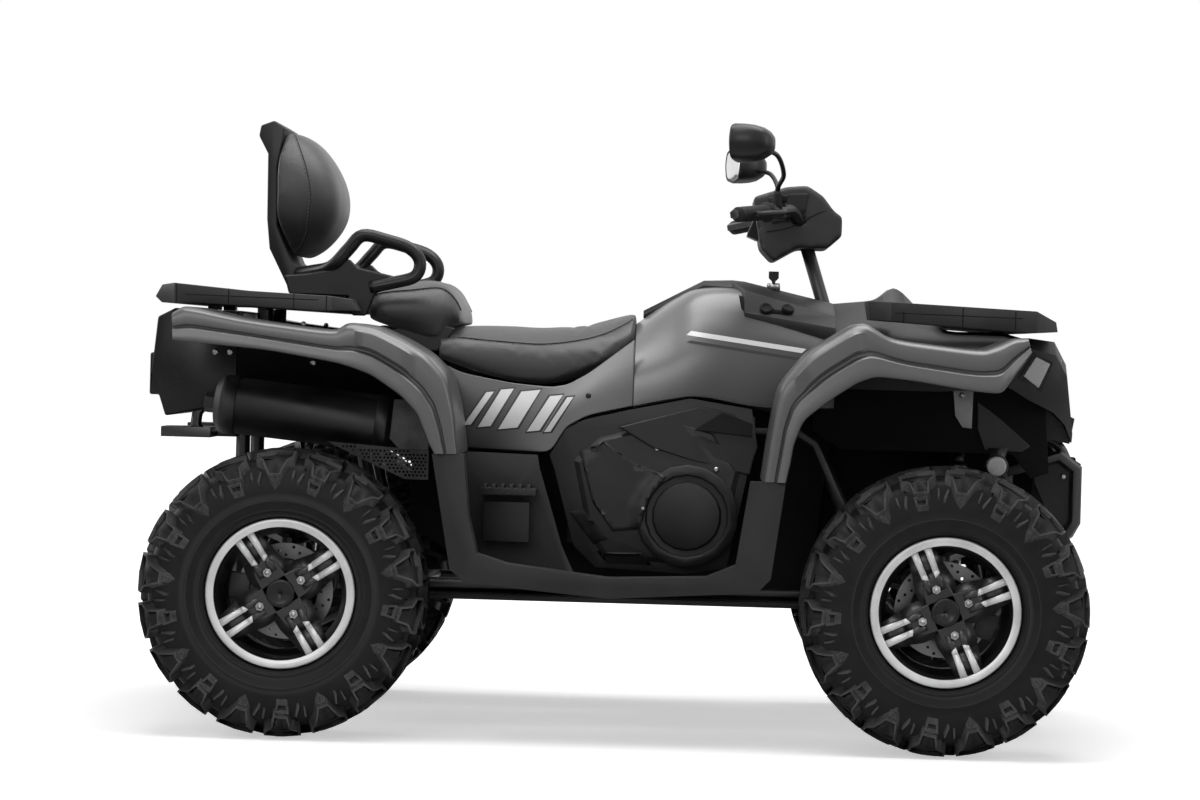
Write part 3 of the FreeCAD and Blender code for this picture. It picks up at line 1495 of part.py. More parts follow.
doc.recompute()
faults = []
for item in doc.Objects:
    if "Invalid" in item.State or "Error" in item.State:
        faults.append("%s is %s" % (item.Label, item.State))
for node in nodes:
    shape = node.Shape
    if shape.isNull() or not shape.isValid() or not shape.Solids or shape.Volume <= 0:
        faults.append("%s has no sound solid" % node.Label)
if faults:
    raise RuntimeError("; ".join(faults))

os.makedirs("parts", exist_ok=True)
for node in nodes:
    node.Shape.exportStep("parts/%s.step" % node.Label)
print("%d sub-parts" % len(nodes))
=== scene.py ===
# %% [markdown]
# # A two-up quad bike
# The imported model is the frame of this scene: every solid is already at its real size and place.
# This lesson dresses it. Each cell makes one finish or one piece, in metres, with +X forward and +Z up.
# Places are read from the frame or worked out as shares of a few driving lengths, so that a piece fits
# wherever its solid lies.

import json
import math

import bmesh
import bpy
from mathutils import Matrix, Vector
from mathutils.bvhtree import BVHTree

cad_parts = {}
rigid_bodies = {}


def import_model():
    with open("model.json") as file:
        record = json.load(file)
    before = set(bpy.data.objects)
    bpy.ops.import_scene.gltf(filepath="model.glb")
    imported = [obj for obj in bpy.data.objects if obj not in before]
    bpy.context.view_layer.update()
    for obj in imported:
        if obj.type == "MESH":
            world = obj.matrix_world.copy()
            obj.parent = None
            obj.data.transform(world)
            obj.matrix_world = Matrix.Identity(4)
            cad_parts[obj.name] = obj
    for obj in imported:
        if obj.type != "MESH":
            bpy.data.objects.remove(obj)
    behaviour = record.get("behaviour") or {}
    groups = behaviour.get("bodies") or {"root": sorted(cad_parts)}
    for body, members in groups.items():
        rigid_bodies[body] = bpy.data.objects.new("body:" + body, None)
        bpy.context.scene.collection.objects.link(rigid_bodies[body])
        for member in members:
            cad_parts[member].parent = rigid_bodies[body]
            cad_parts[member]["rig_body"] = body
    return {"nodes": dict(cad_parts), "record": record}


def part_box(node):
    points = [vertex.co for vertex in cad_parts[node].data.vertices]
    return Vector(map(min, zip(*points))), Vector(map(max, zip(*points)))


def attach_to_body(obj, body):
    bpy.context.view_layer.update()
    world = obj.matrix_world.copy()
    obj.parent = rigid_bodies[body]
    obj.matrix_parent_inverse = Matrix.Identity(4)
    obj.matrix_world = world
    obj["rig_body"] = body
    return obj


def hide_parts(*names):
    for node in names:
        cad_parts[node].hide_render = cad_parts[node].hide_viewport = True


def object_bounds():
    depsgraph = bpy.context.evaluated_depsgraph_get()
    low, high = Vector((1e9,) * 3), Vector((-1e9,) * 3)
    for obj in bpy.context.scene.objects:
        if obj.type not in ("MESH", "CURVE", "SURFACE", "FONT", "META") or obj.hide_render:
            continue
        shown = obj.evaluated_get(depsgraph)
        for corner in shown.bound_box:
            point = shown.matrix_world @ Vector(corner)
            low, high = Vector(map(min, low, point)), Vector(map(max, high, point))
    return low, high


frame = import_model()
cad_low, cad_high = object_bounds()
scene = bpy.context.scene
scene.view_settings.view_transform = "Standard"

# %% [markdown]
# ## The driving lengths
# The rims give the axles, and the axles give the wheelbase. Everything on the body is placed by a share
# of the wheelbase, of half the width or of the body's rise above the axles.

# %% Read the driving lengths
BODY_RISE = 0.7


def centre_of(node):
    low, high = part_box(node)
    return (low + high) / 2


front_axle = centre_of("rim_front_left")
rear_axle = centre_of("rim_rear_left")
wheelbase = front_axle.x - rear_axle.x
mid_x = (front_axle.x + rear_axle.x) / 2
axle_z = rear_axle.z
half_width = cad_high.y
SIDES = (1, -1)


def spot(x_share, y_share, z_share):
    """A point by shares: of the wheelbase, of half the width, and of the body's rise above the axles."""
    return Vector((mid_x + wheelbase * x_share, half_width * y_share, axle_z + BODY_RISE * z_share))


print("wheelbase %.3f, axle height %.3f, half width %.3f" % (wheelbase, axle_z, half_width))

# %% [markdown]
# ## The camera
# The photograph was taken with a long lens, low and square to the right-hand side. Its place and lens
# were worked out from the four wheel centres and the rim sizes. A long lens flattens depth, so both
# wheels look almost like circles.

# %% Set up the camera
IMAGE_WIDTH_PX = 1200
FOCAL_PX = 3364.9
SENSOR_MM = 36.0
CAMERA_AT = (mid_x + 0.1807, -8.071, 0.8986)
CAMERA_YAW, CAMERA_DOWN, CAMERA_ROLL = 0.0292, 0.0158, 0.0267


def aim_camera():
    yaw, down = CAMERA_YAW, CAMERA_DOWN
    ahead = Vector((-math.sin(yaw) * math.cos(down), math.cos(yaw) * math.cos(down), -math.sin(down)))
    right = ahead.cross(Vector((0, 0, 1))).normalized()
    above = right.cross(ahead)
    turned_right = right * math.cos(CAMERA_ROLL) + above * math.sin(CAMERA_ROLL)
    turned_above = above * math.cos(CAMERA_ROLL) - right * math.sin(CAMERA_ROLL)
    data = bpy.data.cameras.new("photo_camera")
    data.sensor_width = SENSOR_MM
    data.lens = FOCAL_PX / IMAGE_WIDTH_PX * SENSOR_MM
    camera = bpy.data.objects.new("photo_camera", data)
    turn = Matrix((turned_right, turned_above, -ahead)).transposed().to_4x4()
    camera.matrix_world = Matrix.Translation(CAMERA_AT) @ turn
    scene.collection.objects.link(camera)
    scene.camera = camera
    return camera


photo_camera = aim_camera()
print("lens %.1f mm" % photo_camera.data.lens)

# %% [markdown]
# ## Light and floor
# A product studio has a white sweep and big soft lamps. The floor and the world look white to the camera
# and to mirrors only. The light that falls on the quad comes from a grey surround, a wide soft box
# overhead and two tall panels, so that satin paint gets long bright bands and dark ones between them.

# %% Light the studio
def add_node(tree, kind, values=None, links=None):
    """Adds one shader node. Values go to its settings or sockets, links to its inputs."""
    node = tree.nodes.new(kind)
    for key, value in (values or {}).items():
        if isinstance(key, str) and hasattr(node, key):
            setattr(node, key, value)
        else:
            node.inputs[key].default_value = value
    for key, source in (links or {}).items():
        tree.links.new(source, node.inputs[key])
    return node


def soft_box(name, place, target, width, height, watts):
    data = bpy.data.lights.new(name, "AREA")
    data.shape = "RECTANGLE"
    data.size, data.size_y, data.energy = width, height, watts
    lamp = bpy.data.objects.new(name, data)
    lamp.location = place
    lamp.rotation_mode = "QUATERNION"
    lamp.rotation_quaternion = (Vector(target) - Vector(place)).to_track_quat("-Z", "Y")
    scene.collection.objects.link(lamp)
    return lamp


def light_studio():
    world = bpy.data.worlds.new("studio")
    scene.world = world
    world.use_nodes = True
    tree = world.node_tree
    ground = tree.nodes["Background"]
    path = add_node(tree, "ShaderNodeLightPath")
    seen = add_node(tree, "ShaderNodeMath", {"operation": "MAXIMUM"}, {
        0: path.outputs["Is Camera Ray"], 1: path.outputs["Is Transmission Ray"]})
    seen = add_node(tree, "ShaderNodeMath", {"operation": "MAXIMUM"}, {
        0: seen.outputs[0], 1: path.outputs["Is Glossy Ray"]})
    shade = add_node(tree, "ShaderNodeMix", {"data_type": "RGBA", 6: (0.14, 0.14, 0.14, 1), 7: (1, 1, 1, 1)},
                     {0: seen.outputs[0]})
    tree.links.new(shade.outputs[2], ground.inputs["Color"])
    soft_box("overhead", (0.1, -0.3, 3.6), (0, 0, 0.6), 3.6, 2.6, 130)
    soft_box("side_panel", (-1.6, -4.6, 2.6), (0, 0, 0.6), 2.6, 1.6, 34)
    soft_box("nose_panel", (4.2, -1.4, 2.2), (0.3, 0, 0.6), 1.4, 2.2, 20)
    soft_box("tail_panel_light", (-4.2, 1.0, 2.4), (0, 0, 0.7), 1.4, 2.2, 30)


light_studio()

# %% Lay the floor
def lay_floor():
    bpy.ops.mesh.primitive_plane_add(size=60, location=(0, 0, -0.0005))
    floor = bpy.context.object
    floor.name = "studio_floor"
    material = bpy.data.materials.new("white_sweep")
    material.use_nodes = True
    tree = material.node_tree
    paint = tree.nodes["Principled BSDF"]
    paint.inputs["Base Color"].default_value = (0.82, 0.82, 0.82, 1)
    paint.inputs["Roughness"].default_value = 0.9
    path = add_node(tree, "ShaderNodeLightPath")
    place = add_node(tree, "ShaderNodeTexCoord").outputs["Object"]
    reach = add_node(tree, "ShaderNodeVectorMath", {"operation": "LENGTH"}, {0: place})
    # Near the bike the floor shows its shadow. Farther off it fades into the white of the world
    glow = add_node(tree, "ShaderNodeMapRange", {1: 1.2, 2: 3.4, 3: 0.5, 4: 1.0}, {0: reach.outputs["Value"]})
    seen = add_node(tree, "ShaderNodeMath", {"operation": "MULTIPLY"},
                    {0: glow.outputs[0], 1: path.outputs["Is Camera Ray"]})
    tree.links.new(seen.outputs[0], paint.inputs["Emission Strength"])
    paint.inputs["Emission Color"].default_value = (1, 1, 1, 1)
    floor.data.materials.append(material)
    return floor


lay_floor()

# %% [markdown]
# ## Colours and patterns
# A colour is written as sRGB hex, the way a paint card gives it, and one function turns it into the
# linear values that Blender calculates with. A texture's scale is bumps per metre, so it is worked out
# from the real size of one bump. Every finish here has a slow pattern, which moves its colour and its
# roughness as wear, wax and handling do, and a fine one, which is its grain.

# %% Colour and pattern helpers
def linear(hex_colour):
    channels = [int(hex_colour[index:index + 2], 16) / 255 for index in (1, 3, 5)]
    return tuple(c / 12.92 if c <= 0.04045 else ((c + 0.055) / 1.055) ** 2.4 for c in channels) + (1,)


def per_mm(size_mm):
    """The texture scale at which one bump is this many millimetres wide."""
    return 1000 / size_mm


def start_material(name, settings):
    """A material whose shader is set. Returns its tree, its shader, and the place on the bike in metres."""
    material = bpy.data.materials.new(name)
    material.use_nodes = True
    tree = material.node_tree
    shader = tree.nodes["Principled BSDF"]
    for key, value in settings.items():
        shader.inputs[key].default_value = value
    place = add_node(tree, "ShaderNodeTexCoord").outputs["Object"]
    return material, tree, shader, place


def noise(tree, place, size_mm, detail):
    """Soft noise whose bumps are this many millimetres wide."""
    values = {"Scale": per_mm(size_mm), "Detail": detail}
    return add_node(tree, "ShaderNodeTexNoise", values, {"Vector": place}).outputs["Fac"]


def remap(tree, source, from_low, from_high, to_low, to_high):
    """Stretches one range of a value onto another."""
    values = {1: from_low, 2: from_high, 3: to_low, 4: to_high}
    return add_node(tree, "ShaderNodeMapRange", values, {0: source}).outputs[0]


def drive(tree, source, shader, name):
    """Lets a pattern set one of the shader's inputs."""
    tree.links.new(source, shader.inputs[name])


def emboss(tree, shader, height, strength, depth_mm):
    """Gives the surface a bump of this depth."""
    values = {"Strength": strength, "Distance": depth_mm / 1000}
    drive(tree, add_node(tree, "ShaderNodeBump", values, {"Height": height}).outputs[0], shader, "Normal")


def finish_surface(tree, shader, place, colours, roughness, grain, relief, cloud_mm=90):
    """Slow noise moves colour and roughness. The grain gives the bump. Relief: strength and depth in mm."""
    wear = remap(tree, noise(tree, place, cloud_mm, 3), 0.32, 0.68, 0, 1)
    speck = add_node(tree, "ShaderNodeMath", {"operation": "MULTIPLY_ADD", 1: 0.3, 2: -0.15}, {0: grain})
    tone = add_node(tree, "ShaderNodeMath", {"operation": "ADD", "use_clamp": True},
                    {0: wear, 1: speck.outputs[0]})
    paint = add_node(tree, "ShaderNodeMix", {"data_type": "RGBA", 6: linear(colours[0]),
                                             7: linear(colours[1])},
                     {0: tone.outputs[0]})
    drive(tree, paint.outputs[2], shader, "Base Color")
    drive(tree, remap(tree, tone.outputs[0], 0, 1, roughness - 0.06, roughness + 0.06), shader, "Roughness")
    emboss(tree, shader, grain, *relief)


# %% [markdown]
# ## Tyre rubber
# A tyre is moulded from rubber filled with carbon black. It is charcoal rather than black, dull, and a
# little paler where wax has bloomed on the sidewall. The grain stands for the spark-eroded mould. It is
# about 0.5 mm on a real tyre and is drawn at 3 mm, so that it shows from eight metres away.

# %% Make the tyre rubber
def moulded_tyre_rubber(name, colours, roughness):
    material, tree, shader, place = start_material(name, {"IOR": 1.52, "Specular IOR Level": 0.16})
    finish_surface(tree, shader, place, colours, roughness, noise(tree, place, 3, 3), (0.35, 0.6), 60)
    return material


tyre_rubber = moulded_tyre_rubber("moulded_tyre_rubber", ("#111111", "#1c1c1c"), 0.5)
# The lugs take this paler rubber: partly real scuffing, partly painted highlight, with painted shade in the
# darker carcass and sunk fields.
scuffed_and_highlit_rubber = moulded_tyre_rubber("scuffed_and_highlit_tyre_rubber", ("#2e2e2e", "#444444"), 0.44)

# %% [markdown]
# ## Powder coat, enamel and moulded plastic
# The rims and the frame have baked powder, whose surface has the soft waves called orange peel. Racks,
# covers and footwells are black polypropylene from an etched mould, with a leathery grain and a grey
# sheen. These finishes differ only in colour, gloss and the kind of grain, so one function makes them,
# and cell-like Voronoi grain stands for the etched moulds.

# %% Make the coated and moulded finishes
def baked_powder(name, colours, roughness, peel_mm):
    material, tree, shader, place = start_material(name,
                                                   {"IOR": 1.5, "Coat Weight": 0.3, "Coat Roughness": 0.18})
    finish_surface(tree, shader, place, colours, roughness, noise(tree, place, peel_mm, 1), (0.25, 0.2))
    return material


def etched_plastic(name, colours, roughness, grain_mm, depth_mm, specular=0.3):
    # An etched grain is 0.3 to 0.5 mm across, and is drawn at 2 to 3 mm so that it shows
    material, tree, shader, place = start_material(name, {"IOR": 1.49, "Specular IOR Level": specular})
    cells = add_node(tree, "ShaderNodeTexVoronoi", {"Scale": per_mm(grain_mm)}, {"Vector": place})
    finish_surface(tree, shader, place, colours, roughness, cells.outputs["Distance"], (0.3, depth_mm), 140)
    return material


rim_black = baked_powder("black_powder_coat", ("#0d0d0d", "#191919"), 0.34, 4)
frame_black = baked_powder("black_frame_enamel", ("#0f0f0f", "#1c1c1c"), 0.42, 5)
black_plastic = etched_plastic("etched_polypropylene", ("#1c1c1c", "#292929"), 0.5, 2.6, 0.3)
rack_plastic = etched_plastic("weathered_rack_plastic", ("#2b2b2b", "#3b3b3b"), 0.46, 2.6, 0.3)
panel_plastic = etched_plastic("fine_grained_polypropylene", ("#202020", "#2c2c2c"), 0.44, 2, 0.15)
smooth_plastic = etched_plastic("polished_abs", ("#131313", "#1d1d1d"), 0.3, 3.5, 0.06)
# Near-black liner plastic, also used for the painted-shade sheets inside the body.
liner_and_shade_plastic = etched_plastic("rough_liner_and_shade_plastic", ("#0a0a0a", "#111111"), 0.78, 5, 0.5, 0.12)
grip_rubber = etched_plastic("pimpled_grip_rubber", ("#0d0d0d", "#171717"), 0.7, 3, 0.6)
# Near-black rubber, also used for the painted-shade plates over the engine cover's openings.
gasket_and_shade_rubber = etched_plastic("black_gasket_and_shade_rubber", ("#070707", "#0d0d0d"), 0.8, 4, 0.3)
print("black finishes:", len(bpy.data.materials))

# %% [markdown]
# ## Body paint
# The coloured panels are plastic under a satin metallic: aluminium flake in a grey base, below a dull
# lacquer. Flake brightens where the panel turns to the light, which part of the way to metallic gives.
# The tank's colour is painted highlight: a colour ramp along the bike, tilted with height, runs from dark
# grey at both ends to a paler grey between them, and slow noise bends the ramp.

# %% Make the body paints
def flake_paint(name, stops):
    """A satin metallic. Stops lists (share of the wheelbase from its middle, colour), from rear to front."""
    material, tree, shader, place = start_material(name, {
        "Metallic": 0.35, "Coat Weight": 0.3, "Coat Roughness": 0.25, "Coat IOR": 1.5, "IOR": 1.5})
    # A real flake is 0.03 mm, drawn at 1.6 mm so that it shows
    flakes = noise(tree, place, 1.6, 1)
    ramp_noise = noise(tree, place, 260, 2)
    axes = add_node(tree, "ShaderNodeSeparateXYZ", links={0: place})
    drift = add_node(tree, "ShaderNodeMath", {"operation": "MULTIPLY_ADD", 1: 0.14, 2: -0.07}, {0: ramp_noise})
    slope = add_node(tree, "ShaderNodeMath", {"operation": "MULTIPLY_ADD", 1: -0.35},
                     {0: axes.outputs[2], 2: axes.outputs[0]})
    along = add_node(tree, "ShaderNodeMath", {"operation": "ADD"}, {0: slope.outputs[0], 1: drift.outputs[0]})
    level = axle_z + BODY_RISE * 0.8
    first, last = [mid_x + wheelbase * share - 0.35 * level for share in (stops[0][0], stops[-1][0])]
    scaled = remap(tree, along.outputs[0], first, last, 0, 1)
    ramp = add_node(tree, "ShaderNodeValToRGB", links={0: scaled})
    ramp.color_ramp.interpolation = "EASE"
    for index, (share, colour) in enumerate(stops):
        spread = (share - stops[0][0]) / (stops[-1][0] - stops[0][0])
        stop = ramp.color_ramp.elements[index] if index < 2 else ramp.color_ramp.elements.new(spread)
        stop.position = spread
        stop.color = linear(colour)
    glint = add_node(tree, "ShaderNodeMix", {"data_type": "RGBA", "blend_type": "OVERLAY", 0: 0.18},
                     {6: ramp.outputs[0], 7: flakes})
    drive(tree, glint.outputs[2], shader, "Base Color")
    drive(tree, remap(tree, flakes, 0.3, 0.7, 0.3, 0.42), shader, "Roughness")
    emboss(tree, shader, flakes, 0.05, 0.1)
    return material


flare_paint = flake_paint("satin_graphite_metallic", [(-0.75, "#525252"), (0.75, "#585858")])
# The tank's stops paint its highlight: a paler grey in the middle, dark grey toward both ends.
highlit_tank_paint = flake_paint("tank_metallic_painted_highlight", [
    (-0.16, "#3d3d3d"), (-0.02, "#7c7c7c"), (0.07, "#686868"), (0.18, "#404040"), (0.34, "#292929")])
stripe_pale = flake_paint("pale_stripe_lacquer", [(-0.75, "#c5c5c5"), (0.75, "#d0d0d0")])
stripe_dark = flake_paint("dark_stripe_lacquer", [(-0.75, "#141414"), (0.75, "#1d1d1d")])

# %% [markdown]
# ## Seat vinyl and thread
# The seats are foam under vinyl pressed with a leather grain. Vinyl has a broad soft highlight that rolls
# over the cushion. Distance to a Voronoi cell's edge gives the pebbles between fine creases, at 5 mm
# where the real ones are about 1.5 mm, because finer ones would vanish at this distance.

# %% Make the vinyl and the thread
def grained_vinyl(name, colours, roughness, pebble_mm):
    material, tree, shader, place = start_material(name,
                                                   {"IOR": 1.5, "Sheen Weight": 0.15, "Sheen Roughness": 0.5})
    cells = add_node(tree, "ShaderNodeTexVoronoi", {"Scale": per_mm(pebble_mm),
                                                    "feature": "DISTANCE_TO_EDGE"},
                     {"Vector": place})
    pebbles = remap(tree, cells.outputs["Distance"], 0, 0.25, 0, 1)
    finish_surface(tree, shader, place, colours, roughness, pebbles, (0.32, 0.35), 110)
    return material


seat_vinyl = grained_vinyl("grained_vinyl", ("#1d1d1d", "#2a2a2a"), 0.46, 5)
piping_vinyl = grained_vinyl("rolled_piping_vinyl", ("#141414", "#1d1d1d"), 0.38, 4)
thread = etched_plastic("polyester_thread", ("#5e5e5e", "#7c7c7c"), 0.6, 1.2, 0.2)

# %% [markdown]
# ## Metals
# The gear cases, knuckles and calipers are sand-cast aluminium: grey, dull and pitted. Rim faces are
# turned on a lathe, which leaves fine rings about the axle, so their noise is stretched along Y. The
# silencer is steel in black heat paint, the pierced sheets are brushed steel, and springs wear grey
# enamel. A metal keeps the default IOR, since its reflection comes from its colour.

# %% Make the metals
def worked_metal(name, colours, roughness, grain_mm, metallic=1.0, relief=(0.25, 0.2), stretch=(1, 1, 1)):
    material, tree, shader, place = start_material(name, {"Metallic": metallic})
    drawn = add_node(tree, "ShaderNodeMapping", {"Scale": stretch}, {"Vector": place})
    grain = noise(tree, drawn.outputs[0], grain_mm, 3)
    finish_surface(tree, shader, place, colours, roughness, grain, relief, 70)
    return material


cast_aluminium = worked_metal("sand_cast_aluminium", ("#2f2f2f", "#4c4c4c"), 0.52, 3, relief=(0.4, 0.5))
rim_silver = worked_metal("turned_aluminium", ("#d2d2d2", "#ececec"), 0.38, 2.5, 0.35, (0.12, 0.1),
                          (1, 0.05, 1))
disc_steel = worked_metal("ground_disc_steel", ("#5f5f5f", "#7d7d7d"), 0.34, 2)
heat_paint = worked_metal("black_heat_paint", ("#101010", "#1b1b1b"), 0.5, 3, metallic=0.2)
plate_steel = worked_metal("brushed_shield_steel", ("#2a2a2a", "#3a3a3a"), 0.42, 2, stretch=(6, 1, 1))
spring_enamel = worked_metal("grey_spring_enamel", ("#3b3b3b", "#515151"), 0.35, 6, metallic=0.2)
bolt_zinc = worked_metal("zinc_plated_steel", ("#8c8c8c", "#b5b5b5"), 0.3, 2)
reflector_foil = worked_metal("vacuum_metallised_bowl", ("#cacaca", "#efefef"), 0.16, 8)
mirror_glass = worked_metal("silvered_mirror_glass", ("#d5d5d5", "#e0e0e0"), 0.07, 40, relief=(0.02, 0.02))


# %% [markdown]
# ## Lenses
# Lamp lenses are clear polycarbonate, which bends light more than window glass, with an IOR of 1.585.
# Moulded flutes on the inside spread the beam: a wave bump stands for them. The tail lamps are smoked
# and the side reflector is frosted.

# %% Make the lenses
def fluted_lens(name, tint, roughness, transmission, flute_mm):
    material, tree, shader, place = start_material(name, {
        "Transmission Weight": transmission, "IOR": 1.585, "Base Color": linear(tint)})
    haze = noise(tree, place, 40, 1)
    drive(tree, remap(tree, haze, 0.3, 0.7, roughness, roughness + 0.05), shader, "Roughness")
    flutes = add_node(tree, "ShaderNodeTexWave", {"Scale": per_mm(flute_mm) / 2, "bands_direction": "Z"},
                      {"Vector": place})
    emboss(tree, shader, flutes.outputs["Fac"], 0.25, 0.6)
    return material


lamp_lens = fluted_lens("clear_polycarbonate", "#dcdcdc", 0.08, 0.3, 9)
smoked_lens = fluted_lens("smoked_polycarbonate", "#3d3d3d", 0.08, 0.45, 6)
marker_lens = fluted_lens("frosted_marker_lens", "#c8c8c8", 0.25, 0.15, 4)
print("finishes:", len(bpy.data.materials))

# %% [markdown]
# ## Tools for the pieces
# A few small functions make all the shapes. One runs a smooth curve through a table of shares, as a
# modeller's spline does. One skins cuts into a closed body, and one sweeps a section along a route for
# tubes. Flat CAD triangles are joined back into whole faces before a Bevel modifier rounds their edges,
# because no moulded part has a knife edge, and the bright line along an edge is what makes it look real.

# %% Curves, skins and sweeps
def turns(count):
    """Angles at an even pitch round a full turn."""
    return [2 * math.pi * index / count for index in range(count)]


def circle(radius, count, u=0, v=0):
    """The corners of a flat regular outline."""
    return [(u + math.cos(turn) * radius, v + math.sin(turn) * radius) for turn in turns(count)]


def axes_of(line):
    """The direction of a line, and two directions square to it."""
    axis = Vector(line).normalized()
    side = axis.orthogonal().normalized()
    return axis, side, axis.cross(side)


def ring(centre, side, other, radius, count):
    """Points round a centre, in the plane of two directions."""
    return [centre + (side * math.cos(turn) + other * math.sin(turn)) * radius for turn in turns(count)]


def curve_through(points, steps, closed=False):
    """More points on a smooth curve through these. The curve passes through each one."""
    points = [Vector(point) for point in points]
    count = len(points)
    spans = count if closed else count - 1
    result = []
    for index in range(spans):
        if closed:
            p0, p1, p2, p3 = [points[(index + shift) % count] for shift in (-1, 0, 1, 2)]
        else:
            p1, p2 = points[index], points[index + 1]
            p0 = points[index - 1] if index else p1 * 2 - p2
            p3 = points[index + 2] if index + 2 < count else p2 * 2 - p1
        for step in range(steps):
            t = step / steps
            near = p1 * 2 + (p2 - p0) * t
            bend = (p0 * 2 - p1 * 5 + p2 * 4 - p3) * t ** 2
            result.append((near + bend + (p1 * 3 - p0 - p2 * 3 + p3) * t ** 3) / 2)
    if not closed:
        result.append(points[-1])
    return result


def skin_mesh(name, rings, closed_ring=True, caps=True, closed_run=False):
    """A mesh through rings that have the same number of points."""
    size = len(rings[0])
    verts = [tuple(point) for ring in rings for point in ring]
    faces = []
    runs = len(rings) if closed_run else len(rings) - 1
    for run in range(runs):
        a, b = run * size, (run + 1) % len(rings) * size
        for index in range(size if closed_ring else size - 1):
            after = (index + 1) % size
            faces.append((a + index, a + after, b + after, b + index))
    if caps and not closed_run:
        faces.append(tuple(reversed(range(size))))
        faces.append(tuple(range((len(rings) - 1) * size, len(rings) * size)))
    mesh = bpy.data.meshes.new(name)
    mesh.from_pydata(verts, [], faces)
    return tidy_mesh(mesh)


def tidy_mesh(mesh):
    """Join doubled points, and turn every face outward."""
    shape = bmesh.new()
    shape.from_mesh(mesh)
    bmesh.ops.remove_doubles(shape, verts=shape.verts, dist=1e-6)
    bmesh.ops.recalc_face_normals(shape, faces=shape.faces)
    shape.to_mesh(mesh)
    shape.free()
    return mesh


def attach(item, body, slot, *stands_for):
    """Puts a piece on a body, in place of the nodes that it stands for. The slot is not used."""
    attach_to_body(item, body)
    if stands_for:
        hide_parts(*stands_for)
    return item


def plain_object(name, mesh, finishes=()):
    """A smooth-shaded object that is not on a body yet."""
    item = bpy.data.objects.new(name, mesh)
    scene.collection.objects.link(item)
    for finish in finishes:
        mesh.materials.append(finish)
    shade_smooth(mesh)
    return item


def shade_smooth(mesh):
    mesh.polygons.foreach_set("use_smooth", [True] * len(mesh.polygons))


def new_piece(name, mesh, finishes, body="chassis", stands_for=(), slot="black_plastic"):
    """A smooth-shaded object on a body, in place of the nodes that it stands for."""
    return attach(plain_object(name, mesh, finishes), body, slot, *stands_for)


def round_edges(item, width_mm, angle=32, segments=2):
    """Rounds every edge that turns more than the angle."""
    edge = item.modifiers.new("rounded_edges", "BEVEL")
    edge.width = width_mm / 1000
    edge.segments = segments
    edge.limit_method = "ANGLE"
    edge.angle_limit = math.radians(angle)
    edge.harden_normals = True
    return item


def sweep(name, route, radius, finish, body="chassis", facets=14, steps=6, flatten=1.0, slot="frame_paint"):
    """A tube along a smooth curve through the route. Flatten squeezes its section across the bike."""
    line = curve_through(route, steps)
    rings = []
    for index, point in enumerate(line):
        ahead = (line[min(index + 1, len(line) - 1)] - line[max(index - 1, 0)]).normalized()
        reference = Vector((0, 0, 1)) if abs(ahead.z) < 0.9 else Vector((1, 0, 0))
        across = reference.cross(ahead).normalized()
        above = ahead.cross(across)
        if rings:
            across = (last - ahead * last.dot(ahead)).normalized()
            above = ahead.cross(across)
        last = across
        rings.append([point + (across * math.cos(turn) * flatten + above * math.sin(turn)) * radius
                      for turn in turns(facets)])
    return new_piece(name, skin_mesh(name, rings), [finish], body, (), slot)


def merged(name, items):
    """One piece out of several on the same body."""
    bpy.ops.object.select_all(action="DESELECT")
    for item in items:
        item.select_set(True)
    bpy.context.view_layer.objects.active = items[0]
    bpy.ops.object.join()
    items[0].name = name
    return items[0]


# %% Copies of CAD solids with whole faces and rounded edges
SLOT_OF = {entry["node"]: entry["material_slot"] for entry in frame["record"]["subparts"]}
BODY_OF = {node: item["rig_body"] for node, item in frame["nodes"].items()}


def whole_faces(node):
    """A copy of a node's mesh with its triangles joined back into flat faces."""
    shape = bmesh.new()
    shape.from_mesh(frame["nodes"][node].data)
    bmesh.ops.remove_doubles(shape, verts=shape.verts, dist=5e-5)
    bmesh.ops.dissolve_limit(shape, angle_limit=math.radians(1), verts=shape.verts, edges=shape.edges)
    mesh = bpy.data.meshes.new(node + "_faces")
    shape.to_mesh(mesh)
    shape.free()
    mesh.materials.clear()
    return mesh


def moulded(node, name, finish, width_mm=3, angle=32, segments=2):
    """A rounded piece that stands for a CAD node and has exactly its form."""
    item = new_piece(name, whole_faces(node), [finish], BODY_OF[node], [node], SLOT_OF[node])
    return round_edges(item, width_mm, angle, segments)


# %% Faces laid on a surface
def surface_tree(items):
    """A search tree of the pieces' shapes, with their modifiers."""
    bpy.context.view_layer.update()
    graph = bpy.context.evaluated_depsgraph_get()
    verts, faces = [], []
    for item in items:
        mesh = item.evaluated_get(graph).to_mesh()
        start = len(verts)
        verts += [vertex.co.copy() for vertex in mesh.vertices]
        faces += [[start + index for index in face.vertices] for face in mesh.polygons]
    return BVHTree.FromPolygons(verts, faces)


